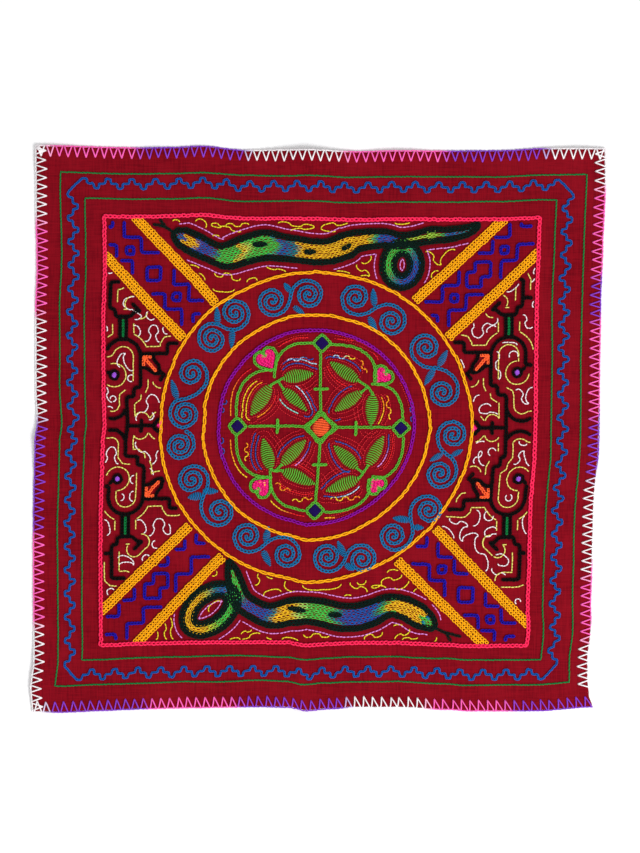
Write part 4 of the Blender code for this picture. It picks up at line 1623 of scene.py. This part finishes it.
@dataclass
class Scrolls:
    """The wandering lines and hooks between the large figures: white at the sides, yellow by the serpents."""

    black_clear: float = 3.4
    ring_clear: float = 2.6
    band_clear: float = 5.6
    width: float = 1.25
    pitch: float = 2.7
    share: float = 0.9

    def build(self, bench: Workbench, rings: Rings, frame: FrameAndBands, sides: Sides) -> None:
        """Stitches both colours, as far as the black lines, the bands, the outer ring and the frame.

        Args:
            bench: The cloth's lay and the yarns.
            rings: The rings.
            frame: The frame and the bands.
            sides: The black lines.
        """
        black = np.vstack(sides.black_lines(rings, frame))
        for name, seed, dye, wanderers, hooks in (
            ("side_squiggles", 95, "white", WHITE_WANDERERS, WHITE_HOOKS),
            ("squiggles", 93, "lemon", YELLOW_WANDERERS, YELLOW_HOOKS),
        ):
            lines = FineLines(name, seed, self.width, self.pitch, self.share)
            drawn = [wander(row[:2], row[2:4], *row[4:]) for row in wanderers]
            drawn += [circle(row[:2], *row[2:], 16) for row in hooks]
            for line in drawn:
                free = line[np.linalg.norm(line[:, None] - black[None], axis=2).min(axis=1) > self.black_clear]
                if len(free) > 3:
                    for part in fitted([free], rings, frame, self.ring_clear, self.band_clear):
                        lines.add(part, dye)
            lines.sew(bench)


@dataclass
class Contours:
    """Lilac lines that echo both serpents, and pale ones that echo the black lines at the sides."""

    serpent_gap: float = 6.6
    hole_gap: float = 4.6
    black_gap: float = 6.6
    ring_clear: float = 3.6
    band_clear: float = 6.2
    frame_clear: float = 2.6

    def limits(self, rings: Rings, frame: FrameAndBands) -> tuple[list[tuple[Array, float]], list[float]]:
        """What the echoes keep clear of: the outer ring, the bands and the frame.

        Args:
            rings: The rings.
            frame: The frame and the bands.

        Returns:
            Lines with the distance to keep from each, and the box inside the frame.
        """
        keep = [(circle(rings.middle, rings.outer - off, count=300), self.ring_clear + 0.1) for off in (0, 6, 12, 18)]
        for _, side, place, across, up in frame.bands:
            keep.append((spaced(frame.row_ends(side, place, (across, up), 0.0), 90), self.band_clear))
        left, right, bottom, top = frame.square
        clear = self.frame_clear
        return keep, [left + clear, right - clear, bottom + clear, top - clear]

    def build(
        self, bench: Workbench, makers: Sequence[Serpent], rings: Rings, frame: FrameAndBands, sides: Sides
    ) -> None:
        """Stitches the echoes.

        Args:
            bench: The cloth's lay and the yarns.
            makers: Both serpents.
            rings: The rings.
            frame: The frame and the bands.
            sides: The black lines.
        """
        keep, box = self.limits(rings, frame)
        lilac = FineLines("echo_lines", 92, 1.3, 3.3, 0.8)
        for serpent in makers:
            middle, half = serpent.spine()
            ring = serpent.ring()
            far = serpent.loop_half_width + self.serpent_gap
            reach = half + self.serpent_gap
            outline = np.vstack([beside(middle, reach), beside(middle, -reach)[::-1]])
            tongue = np.vstack([spaced(line, 12) for line in serpent.tongue])
            outside = beside(ring, -far, True)
            spine = [(middle[start : start + 12], half[start : start + 12].mean() + self.serpent_gap - 0.8)
                     for start in range(0, len(middle) - 1, 10)]
            for part in clear_parts(outline, [*keep, (ring, far - 0.4), (tongue, 3.0)], box):
                lilac.add(part, "lilac")
            for part in clear_parts(np.vstack([outside, outside[:1]]), [*keep, *spine], box):
                lilac.add(part, "lilac")
            hole = beside(ring, serpent.loop_half_width + self.hole_gap, True)
            lilac.add(np.vstack([hole, hole[:1]]), "lilac")
        lilac.sew(bench)
        pale = FineLines("side_outlines", 94, 1.3, 3.0, 0.88)
        black = sides.black_lines(rings, frame)
        drawn = np.vstack(black)
        for line in black:
            for part in clear_parts(outlined(line, self.black_gap), [*keep, (drawn, self.black_gap - 0.3)], box, 3.5):
                pale.add(part, "pear")
        pale.sew(bench)


# The corners and the sides: one corner and one quarter of the side figures are charted once, and
# mirrored. A row is one stepped line: its start as across,up and then its runs in millimetres, n, s,
# e or w, or across/up for a slanted one. In the quarter, east is inwards and north away from the middle.

CORNER_FIGURE = """
-26,50 s17 e15 s14 e17
18,6 s16 e14 s15 e16
-50,26 e17 s14 e14 s17
-5,-18 e16 s14 e15 s16
-36,51 s9 w9
44,-37 w8 s8
"""

MIDDLE_FIGURE = """
-2,-11 e13 n13 w7 n9 w14 s13 e8 s9
"""

SIDE_QUARTER = """
15.5,0 s28 w6 s8 w6
15.5,2 e24 n9 e13
0,35.5 e7 4/5 e4
8,47 7/-7
-12,50 w8
-2.8,15.5 n20
2.8,15.5 n20
-15.5,0 s10 w6
-15,-12 4/-4
27,1 s4 5/-6 s4 3/-3
15.5,-10 e5 7/-6 e5
37,-16 -4/-6
"""

QUARTER_DART = """
29,-13.5 -11/13
18,-0.5 e7
18,-0.5 s8
"""

QUARTER_BAR = """
0,33 s15
"""


def stepped(chart: str) -> list[Array]:
    """Reads a chart of stepped lines.

    Args:
        chart: A line a row, as its start and its runs.

    Returns:
        The points of each line.
    """
    ways = {"n": (0.0, 1.0), "s": (0.0, -1.0), "e": (1.0, 0.0), "w": (-1.0, 0.0)}
    lines = []
    for row in chart.strip().splitlines():
        start, *runs = row.split()
        points = [np.array(start.split(","), float)]
        for run in runs:
            if run[0] in ways:
                points.append(points[-1] + np.array(ways[run[0]]) * float(run[1:]))
            else:
                points.append(points[-1] + np.array(run.split("/"), float))
        lines.append(np.array(points))
    return lines


def sew_chains(
    bench: Workbench, name: str, seed: int, yarn: Yarn, lines: Sequence[Array],
    link: float, width: float, thick: float,
) -> None:
    """Stitches lines as one piece of chain stitch.

    Args:
        bench: The cloth's lay and the yarns.
        name: The piece's name.
        seed: The start of its random draws.
        yarn: Its yarn.
        lines: Its lines.
        link: How long one loop shows.
        width: How wide a row is.
        thick: The yarn's thickness.
    """
    made = Stitches(seed=seed)
    for line in lines:
        made.chain(line, link, width, yarn=thick)
    bench.sew(name, made, yarn)


@dataclass
class Medallion:
    """The green figure inside the rings: a cross with lozenges, four lobed leaves and four hearts.

    Columns of the lobes: across and up where one leaves the cross, across and up where it ends at the
    stems, and whether it starts upright. Of the hearts: tip across and up, direction, length, width.
    Of the ticks: across, up and direction. Of the star's rows: how far its tips and its waists are out.
    Of the leaves: across and up at the stem, across and up at the tip, greatest width. Of the echoes:
    leaf, distance, first and last share of the way round it, first and last dye. Of the wandering
    lines: as in the tables above, and first and last dye. Of the outer echoes: lobe, first and last
    dye. Of the arcs: where one starts and ends, in degrees.
    """

    middle: Point = (2.5, 2.5)
    arms: Sequence[tuple[float, float, float, float]] = (
        (2.5, 69, 2.5, 17.2), (2.5, -12.2, 1.5, -63), (-62, 2, -12.2, 2.5), (17.2, 2.5, 65, 1.5),
    )
    lobes: Sequence[tuple[float, float, float, float, bool]] = (
        (-73, 11, -38, 53, True), (-4, 78, -38.5, 46, False), (11, 77, 52.5, 42, False), (75.5, 8, 48, 41, True),
        (-72, -5, -39, -44, True), (-8, -72, -40.5, -38, False), (77, -7, 48, -45.5, True), (10, -74, 51, -43, False),
    )
    squareness: float = 0.78
    hearts: Sequence[tuple[float, float, float, float, float]] = (
        (-39.5, 53, 122, 18.5, 17.5), (52, 42, 47, 14, 14.5), (-41, -45, 229, 16, 16), (49.5, -44, 311, 13, 14),
    )
    heart_gap: float = 2.0
    lozenges: Sequence[tuple[float, float]] = ((3.5, 78.0), (-72.0, 2.0), (74.0, 1.0), (1.0, -72.0))
    lozenge_half: float = 8.2
    tick_half: float = 6.2
    ticks: Sequence[tuple[float, float, float]] = (
        (3.0, 37.0, 0.0), (-36.0, 2.0, 90.0), (34.0, 1.0, 90.0), (3.0, -31.0, 0.0),
    )
    star_rows: Sequence[tuple[float, float]] = ((11.4, 8.6), (14.4, 9.6))
    leaves: Sequence[tuple[float, float, float, float, float]] = (
        (-31, 45, -4, 51, 12.3), (-31, 36, -10, 17, 10.0), (-42, 39, -60, 12, 12.9),
        (36, 44, 11, 61, 11.5), (39, 34, 15, 17, 11.0), (49, 32, 47, 3, 11.8),
        (-40, -37, -48, -9, 11.5), (-31, -33, -10, -9, 11.0), (-30, -38, 0, -48, 11.8),
        (37, -35, 15, -14, 11.0), (46, -33, 59, -6, 11.5), (39, -44, 10, -55, 11.8),
    )
    joints: Sequence[Point] = ((-35.5, 43.0), (45.0, 38.5), (-36.5, -38.5), (42.5, -39.5))
    echoes: Sequence[tuple[int, float, float, float, str, str]] = (
        (0, 5.0, 0.04, 0.52, "blue", "blue"), (0, 9.0, 0.06, 0.50, "blue", "pale"),
        (1, 5.2, 0.05, 0.60, "pale", "blue"), (1, 8.4, 0.20, 0.60, "blue", "blue"),
        (1, 5.2, 0.66, 0.94, "sea", "sea"), (2, 4.6, 0.48, 0.97, "gold", "amber"),
        (2, 8.2, 0.50, 0.95, "gold", "gold"), (2, 4.2, 0.08, 0.42, "red", "amber"),
        (3, 5.0, 0.50, 0.96, "blue", "blue"), (3, 4.6, 0.10, 0.44, "red", "red"),
        (4, 5.4, 0.52, 0.94, "blue", "blue"), (4, 8.6, 0.36, 0.60, "blue", "blue"),
        (5, 4.6, 0.05, 0.47, "amber", "gold"), (6, 4.6, 0.05, 0.48, "blue", "blue"),
        (6, 8.8, 0.06, 0.46, "blue", "blue"), (7, 4.4, 0.55, 0.94, "blue", "lilac"),
        (7, 4.4, 0.06, 0.46, "blue", "blue"), (8, 4.4, 0.06, 0.47, "red", "red"),
        (8, 8.6, 0.52, 0.95, "red", "red"), (9, 4.6, 0.05, 0.50, "blue", "blue"),
        (9, 4.4, 0.55, 0.94, "blue", "blue"), (10, 4.8, 0.54, 0.95, "blue", "lilac"),
        (10, 8.8, 0.54, 0.94, "red", "red"), (11, 4.6, 0.54, 0.96, "blue", "blue"),
        (11, 4.6, 0.04, 0.47, "pale", "blue"),
    )
    wanderers: Sequence[tuple[float, float, float, float, int, float, str, str]] = (
        (-27, 61, -4, 65, 4, 1.2, "pale", "blue"), (14, 66, 33, 65, 4, 1.3, "pale", "gold"),
        (38, 62, 43, 51, 3, 1.3, "amber", "amber"), (61, 30, 65, 9, 4, 1.4, "amber", "gold"),
        (-63, -13, -62, -29, 4, 1.5, "amber", "gold"), (-35, -50, -22, -57, 3, 2.0, "amber", "amber"),
        (-19, -65, -2, -60, 4, 1.2, "gold", "amber"), (15, -62, 41, -62, 5, 1.6, "gold", "amber"),
        (-82, 25, -86, 14, 3, 1.6, "blue", "blue"), (-85, -9, -83, -28, 4, 1.6, "blue", "blue"),
        (83, 24, 84, 7, 4, 1.4, "blue", "blue"),
    )
    outer_echoes: Sequence[tuple[int, str, str]] = (
        (0, "amber", "red"), (1, "red", "red"), (2, "red", "red"), (4, "amber", "gold"), (5, "red", "gold"),
        (6, "amber", "gold"), (7, "gold", "amber"),
    )
    outer_gap: float = 5.0
    outer_clear: float = 3.4
    green_clear: float = 2.3
    purple_clear: float = 2.9
    leaf_clear: float = 2.2
    least: float = 5.0
    link: float = 3.1
    width: float = 2.8
    thick: float = 1.05
    dot_gaps: Sequence[float] = (2.6, 7.0, 10.4)
    dot_pitch: float = 2.1
    dot_clear: float = 2.0
    dot_share: float = 0.5
    arc_radii: Sequence[float] = (83.6, 80.8)
    arcs: Sequence[tuple[float, float]] = ((98, 119), (51, 82), (9, 30), (-31, -9), (-82, -66))
    box: Sequence[float] = (-90.0, 92.0, -92.0, 92.0)

    def lobe(self, across: float, up: float, far_across: float, far_up: float, upright: bool) -> Array:
        """One side of a lobed leaf: a squarish quarter turn from the cross to the stems."""
        turn = np.linspace(0.0, math.pi / 2, 22)
        rising, leaving = np.sin(turn) ** self.squareness, 1 - np.cos(turn) ** self.squareness
        x, y = (leaving, rising) if upright else (rising, leaving)
        return np.column_stack([across + (far_across - across) * x, up + (far_up - up) * y])

    def heart(self, tip_across: float, tip_up: float, direction: float, length: float, width: float) -> Array:
        """A heart's outline from just beside its tip, round the notch, to the other side of its tip."""
        half, low, high = 16, 17, 28.9
        turn = np.linspace(-0.93 * math.pi, 0.93 * math.pi, 44)
        x = half * np.sin(turn) ** 3
        y = 13 * np.cos(turn) - 5 * np.cos(2 * turn) - 2 * np.cos(3 * turn) - np.cos(4 * turn)
        shape = np.column_stack([x * width / (2 * half), (y + low) * length / high])
        return turned(shape, direction - 90, (tip_across, tip_up))

    def around(self, leaf: tuple[float, float, float, float, float], gap: float) -> Array:
        """A line round a leaf at a distance: up its left side, round the tip and down its right side."""
        base, tip, width = np.array(leaf[:2], float), np.array(leaf[2:4], float), leaf[4]
        length = np.linalg.norm(tip - base)
        along = (tip - base) / length
        left = np.array([-along[1], along[0]])
        way = np.linspace(0.0, 1.0, 24)
        side = base + along * (way * length)[:, None] + left * (leaf_half(width, way) + gap)[:, None]
        other = base + along * (way * length)[:, None] - left * (leaf_half(width, way) + gap)[:, None]
        turn = math.degrees(math.atan2(along[1], along[0]))
        return np.vstack([side, circle(tuple(tip), gap, turn + CAP_START, CAP_SWEEP, 9), other[::-1]])

    def fine_lines(self, bench: Workbench, green: Sequence[Array], rings: Rings) -> None:
        """Stitches the coloured echoes, the wandering lines and the red dots.

        Args:
            bench: The cloth's lay and the yarns.
            green: The green chains that they keep clear of.
            rings: The rings, with the purple one that they keep clear of.
        """
        purple = circle(rings.middle, rings.purple, count=300)
        keep = [(np.vstack([spaced(line, 60) for line in green]), self.green_clear), (purple, self.purple_clear)]
        bodies = [np.vstack([self.around(leaf, 0.0), np.linspace(leaf[:2], leaf[2:4], 20)]) for leaf in self.leaves]
        lines, dots = FineLines("medallion_fine_lines", 91), Stitches(seed=67, sides=4)
        for number, gap, first, last, first_dye, last_dye in self.echoes:
            whole = spaced(self.around(self.leaves[number], gap), 80)
            others = [(body, self.leaf_clear) for place, body in enumerate(bodies) if place != number]
            stretch = whole[int(first * len(whole)) : int(last * len(whole))]
            for part in clear_parts(stretch, keep + others, self.box, self.least):
                lines.add(part, first_dye, last_dye)
        for number, first_dye, last_dye in self.outer_echoes:
            line = self.lobe(*self.lobes[number])
            hand = 1 if np.linalg.norm(beside(line, 1.0)[10]) > np.linalg.norm(line[10]) else -1
            clear = [(keep[0][0], self.outer_clear), keep[1]]
            for part in clear_parts(beside(line, hand * self.outer_gap), clear, self.box, self.least):
                lines.add(part, first_dye, last_dye)
        for across, up, far_across, far_up, lobes, swing, first_dye, last_dye in self.wanderers:
            lines.add(wander((across, up), (far_across, far_up), lobes, swing), first_dye, last_dye)
        lines.sew(bench)
        for number, leaf in enumerate(self.leaves):
            others = [(body, self.dot_clear) for place, body in enumerate(bodies) if place != number]
            for gap in self.dot_gaps:
                for part in clear_parts(spaced(self.around(leaf, gap), 80), keep + others, self.box, self.least):
                    dots.running(part, self.dot_pitch, 1.15, self.dot_share)
        for first, last in self.arcs:
            for radius in self.arc_radii:
                arc = circle(self.middle, radius, first, last - first, 30)
                dots.running(arc, self.dot_pitch, 1.05, self.dot_share)
        bench.sew("medallion_echoes", dots, Yarn.RED)

    def build(self, bench: Workbench, rings: Rings) -> None:
        """Stitches the green chains, the leaves, the lozenges, the hearts and the middle.

        Args:
            bench: The cloth's lay and the yarns.
            rings: The rings round it.
        """
        hearts = [self.heart(*heart) for heart in self.hearts]
        chains = [self.lobe(*lobe) for lobe in self.lobes] + [np.array([arm[:2], arm[2:]]) for arm in self.arms]
        chains += [beside(heart, self.heart_gap) for heart in hearts]
        sew_chains(bench, "medallion_chains", 61, Yarn.LEAF_GREEN, chains, self.link, self.width, self.thick)
        green, leaves = Stitches(seed=66), Stitches(seed=62)
        for across, up in self.lozenges:
            diamond = circle((across, up), self.lozenge_half, count=4)
            diamond = np.vstack([diamond, diamond[:1]])
            green.chain(diamond, self.link, self.width, yarn=self.thick)
            chains.append(diamond)
        for across, up, way in self.ticks:
            green.chain(turned([(-self.tick_half, 0), (self.tick_half, 0)], way, (across, up)), 3.2, 3.0, base=0.5)
        for tip, waist in self.star_rows:
            points = [circle(self.middle, tip, count=4), circle(self.middle, waist, 45.0, count=4)]
            star = eased(np.stack(points, axis=1).reshape(-1, 2), closed=True)
            green.chain(star, 3.0, 2.7, closed=True, yarn=self.thick)
            chains.append(star)
        for number, (across, up, far_across, far_up, width) in enumerate(self.leaves):
            green.chain([self.joints[number // 3], (across, up)], 3.0, 2.5, yarn=self.thick)
            leaves.leaf((across, up), (far_across, far_up), width)
        bench.sew("medallion_stems", green, Yarn.LEAF_GREEN)
        bench.sew("medallion_leaves", leaves, Yarn.LEAF_GREEN)
        self.fine_lines(bench, chains, rings)
        dusk, rose, coral = Stitches(seed=63), Stitches(seed=64), Stitches(seed=65)
        for across, up in self.lozenges:
            dusk.filled(circle((across, up), self.lozenge_half - 2.0, count=4), 0.0, 1.0, 1.05, 20.0)
        for heart in hearts:
            rose.filled(heart, 15.0, 1.25, 1.15, 3.4, gap=0.3)
        coral.filled(circle(self.middle, 7.6, count=40), 4.0, 1.55, 1.25, 16.0)
        bench.sew("medallion_lozenges", dusk, Yarn.DUSK)
        bench.sew("medallion_hearts", rose, Yarn.ROSE)
        bench.sew("medallion_middle", coral, Yarn.CORAL)


def mirrored(lines: Sequence[Array], middle: Point, ways: Point) -> list[Array]:
    """Copies of lines round a place, turned over where a way is -1."""
    return [np.array(line) * ways + middle for line in lines]


def fitted(
    lines: Sequence[Array], rings: Rings, frame: FrameAndBands, ring_clear: float, band_clear: float
) -> list[Array]:
    """Lines cut off where they meet the outer ring, a band or the frame.

    Args:
        lines: The lines.
        rings: The rings.
        frame: The frame and the bands.
        ring_clear: Distance to keep from the outer ring.
        band_clear: Distance to keep from a band's middle line.

    Returns:
        What is left of them.
    """
    keep = [(circle(rings.middle, rings.outer - off, count=400), ring_clear) for off in (0, 6)]
    for _, side, place, across, up in frame.bands:
        keep.append((spaced(frame.row_ends(side, place, (across, up), 0.0), 160), band_clear))
    left, right, bottom, top = frame.square
    box = (left + ring_clear, right - ring_clear, bottom + ring_clear, top - ring_clear)
    parts = []
    for line in lines:
        close = spaced(line, max(4, round(run_of(line)[-1] / CLOSE_STEP)))
        parts += clear_parts(close, keep, box, 3.5)
    return parts


@dataclass
class Corners:
    """Stepped lines and outlined squares in violet-blue chain stitch.

    Columns: across and up of a corner's middle, its ways across and up, the side of its middle
    square, or 0 for the stepped figure, and how far out its two small squares are, or 0 for none.
    """

    corners: Sequence[tuple[float, float, int, int, float, float]] = (
        (-147, 138, 1, 1, 12.0, 21.0), (142, 140, -1, 1, 0.0, 21.5), (-141, -141, 1, -1, 0.0, 0.0),
        (138, -147, 1, 1, 13.0, 22.0),
    )
    small_side: float = 6.5
    link: float = 2.8
    width: float = 3.5
    thick: float = 1.5
    ring_clear: float = 4.0
    band_clear: float = 6.6

    def build(self, bench: Workbench, rings: Rings, frame: FrameAndBands) -> None:
        """Stitches the corners.

        Args:
            bench: The cloth's lay and the yarns.
            rings: The rings.
            frame: The frame and the bands.
        """
        lines, squares = [], Stitches(seed=72)
        for across, up, way_across, way_up, side, out in self.corners:
            place, ways = (across, up), (way_across, way_up)
            figure = stepped(CORNER_FIGURE)
            lines += fitted(mirrored(figure, place, ways), rings, frame, self.ring_clear, self.band_clear)
            outlines = [] if side else mirrored(stepped(MIDDLE_FIGURE), place, ways)
            sides = [(0.0, side)] if side else []
            sides += [(-out, self.small_side), (out, self.small_side)] if out else []
            for off, length in sides:
                middle = (across + off * way_across, up - off * way_up)
                square = circle(middle, length / math.sqrt(2), 45.0, 360.0, 4)
                outlines.append(np.vstack([square, square[:1]]))
            for outline in outlines:
                squares.chain(outline, self.link, self.width, yarn=self.thick)
        sew_chains(bench, "corner_lines", 71, Yarn.VIOLET, lines, self.link, self.width, self.thick)
        bench.sew("corner_squares", squares, Yarn.VIOLET)


@dataclass
class Sides:
    """Black branching lines with dots, bars and darts, in the panels left and right of the rings.

    Columns of the quarters: across and up of the arch, ways across and up, and how far the crook
    reaches. Of the bowls: across and up of the middle, radius, start and sweep. Of the spines:
    across, and the way inwards. A dart's and a bar's: how long a loop shows, row width and yarn.
    """

    quarters: Sequence[tuple[float, float, int, int, float]] = (
        (-173.0, 64.5, 1, 1, 24.0), (-168.5, -61.0, 1, -1, 30.0),
        (169.5, 68.0, -1, 1, 24.0), (173.5, -60.0, -1, -1, 31.0),
    )
    arch: float = 15.5
    bowls: Sequence[tuple[float, float, float, float, float]] = (
        (-183.5, 22.0, 13.0, 223, 114), (-183.0, -14.0, 13.0, 138, -120),
        (182.0, 22.0, 14.0, 184, 120), (180.5, -15.0, 14.0, 157, -109),
    )
    spines: Sequence[tuple[float, int]] = ((-170.0, 1), (168.0, -1))
    middle: float = 2.5
    arm: float = 22.5
    bar_at: float = 12.5
    bar_half: float = 5.5
    tip_length: float = 5.5
    tip_half: float = 6.0
    crook_up: float = 35.5
    crook_step: float = 7.0
    crook_out: float = -12.0
    crook_in: float = 3.0
    diamond_gap: float = 3.5
    diamond_length: float = 4.5
    diamond_half: float = 4.8
    dot: Point = (-8.0, -16.5)
    dot_ring: float = 4.0
    dot_inner: float = 2.7
    link: float = 3.0
    width: float = 3.9
    thick: float = 1.65
    dart: tuple[float, float, float] = (2.7, 3.5, 1.5)
    bar: tuple[float, float, float] = (2.6, 3.0, 1.3)
    ring_clear: float = 3.4
    band_clear: float = 6.4

    def lines(self, rings: Rings, frame: FrameAndBands) -> list[Array]:
        """The black lines of both panels."""
        lines = []
        foot, out, arch = self.crook_up, self.crook_out, circle((0.0, 0.0), self.arch, 0.0, 180.0, 30)
        knee, head = -self.crook_step, foot + self.crook_step
        for across, up, way_across, way_up, reach in self.quarters:
            top = head + reach
            crook = np.array([(0, foot), (knee, foot), (knee, head), (out, head), (out, top), (self.crook_in, top)])
            drawn = mirrored([*stepped(SIDE_QUARTER), crook, arch], (across, up), (way_across, way_up))
            spine = min(self.spines, key=lambda row: abs(row[0] - across))[0]
            last = drawn[0][-1]
            drawn[0] = np.vstack([drawn[0][:-1], [(spine, last[1]), (spine, self.middle)]])
            lines += fitted(drawn, rings, frame, self.ring_clear, self.band_clear)
        for spine, way in self.spines:
            end = spine + way * self.arm
            tip, half = end + way * self.tip_length, self.tip_half
            lines += [
                np.array([(spine, self.middle), (end, self.middle)]),
                np.array([(spine + way * self.bar_at, self.middle + self.bar_half * hand) for hand in (1, -1)]),
                np.array([(tip, self.middle + half), (end, self.middle), (tip, self.middle - half)]),
            ]
        bowls = [circle((row[0], row[1]), *row[2:], 30) for row in self.bowls]
        return lines + fitted(bowls, rings, frame, self.ring_clear, self.band_clear)

    def dot_places(self) -> list[Point]:
        """The middles of the four dots."""
        return [
            (across + self.dot[0] * way_across, up + self.dot[1] * way_up)
            for across, up, way_across, way_up, _ in self.quarters
        ]

    def black_lines(self, rings: Rings, frame: FrameAndBands) -> list[Array]:
        """Every black line of both panels and the rings of the dots, with their points close together."""
        lines = self.lines(rings, frame) + [circle(place, self.dot_ring, 0, 359, 24) for place in self.dot_places()]
        return [spaced(line, max(4, round(run_of(line)[-1] / 1.2))) for line in lines]

    def build(self, bench: Workbench, rings: Rings, frame: FrameAndBands) -> None:
        """Stitches the sides.

        Args:
            bench: The cloth's lay and the yarns.
            rings: The rings.
            frame: The frame and the bands.
        """
        darts, bars = [], []
        ring, dots, pink = Stitches(seed=86), Stitches(seed=82), Stitches(seed=87)
        for across, up, way_across, way_up, _ in self.quarters:
            place, ways = (across, up), (way_across, way_up)
            darts += mirrored(stepped(QUARTER_DART), place, ways)
            bars += mirrored(stepped(QUARTER_BAR), place, ways)
        for place in self.dot_places():
            ring.chain(circle(place, self.dot_ring, count=32), 3.0, 3.2, closed=True, base=0.3)
            dots.filled(circle(place, self.dot_inner, count=24), 0.0, 0.9, 1.0, 12.0)
        for spine, way in self.spines:
            tip = spine + way * (self.arm + self.diamond_gap)
            far, half = tip + way * self.diamond_length, self.diamond_half
            diamond = np.array([(tip, self.middle), (far, self.middle + half), (far, self.middle - half)])
            pink.filled(diamond, 60.0, 0.9, 1.0, 14.0)
        lines = self.lines(rings, frame)
        sew_chains(bench, "side_lines", 81, Yarn.BLACK, lines, self.link, self.width, self.thick)
        sew_chains(bench, "side_darts", 83, Yarn.CORAL, darts, *self.dart)
        sew_chains(bench, "side_bars", 84, Yarn.GREEN, bars, *self.bar)
        bench.sew("side_rings", ring, Yarn.BLACK)
        bench.sew("side_dots", dots, Yarn.MAUVE)
        bench.sew("side_diamonds", pink, Yarn.ROSE)


# The studio


@dataclass
class Studio:
    """A pale plain floor, soft light and a camera straight overhead. Metres."""

    view_height: float = 0.7592
    aim_mm: Point = (1.3, 2.0)
    distance: float = 2.5
    sensor_mm: float = 36.0
    floor_side: float = 6.0
    floor_colour: str = "f4f4f5"
    world_strength: float = 0.78
    key_power: float = 55.0
    key_size: float = 1.1
    key_from: tuple[float, float, float] = (1.5, -1.3, 2.0)

    def build(self, bench: Workbench) -> None:
        """Sets up the floor, the lights and the camera."""
        scene = bpy.context.scene
        scene.view_settings.view_transform = "Standard"
        paper, _, _ = principled("matt_paper_white", Base_Color=(*linear(self.floor_colour), 1.0), Roughness=0.9)
        half = self.floor_side / 2
        corners = np.array([(-half, -half, 0.0), (half, -half, 0.0), (half, half, 0.0), (-half, half, 0.0)])
        mesh_object("floor", corners, [np.array([[0, 1, 2, 3]])], paper)
        world = bpy.data.worlds.new("studio")
        world.use_nodes = True
        light = world.node_tree.nodes["Background"]
        light.inputs["Color"].default_value = (1.0, 1.0, 1.0, 1.0)
        light.inputs["Strength"].default_value = self.world_strength
        scene.world = world
        key = bpy.data.lights.new("key", "AREA")
        key.energy, key.size = self.key_power, self.key_size
        lamp = bpy.data.objects.new("key", key)
        lamp.location = self.key_from
        lamp.rotation_euler = Vector(self.key_from).to_track_quat("Z", "Y").to_euler()
        scene.collection.objects.link(lamp)
        view = bpy.data.cameras.new("camera")
        view.sensor_width = self.sensor_mm
        view.lens = self.sensor_mm * self.distance / self.view_height
        camera = bpy.data.objects.new("camera", view)
        aim = (np.array(self.aim_mm) - bench.lay.middle()) * MM
        camera.location = (aim[0], aim[1], self.distance)
        scene.collection.objects.link(camera)
        scene.camera = camera


def main() -> None:
    """Builds the embroidered cloth over its CAD frame."""
    logging.basicConfig(level=logging.INFO, format="%(message)s")
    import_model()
    bench = Workbench(Lay())
    sheet = ClothSheet()
    cloth = sheet.build(bench)
    Edging().build(bench, bench.lay.half)
    Border().build(bench)
    frame, rings, sides, makers = FrameAndBands(), Rings(), Sides(), serpents()
    frame.build(bench)
    rings.build(bench)
    for serpent in makers:
        serpent.build(bench)
    Medallion().build(bench, rings)
    Contours().build(bench, makers, rings, frame, sides)
    Scrolls().build(bench, rings, frame, sides)
    Corners().build(bench, rings, frame)
    sides.build(bench, rings, frame)
    Studio().build(bench)
    bpy.context.view_layer.update()


if __name__ == "__main__":
    main()
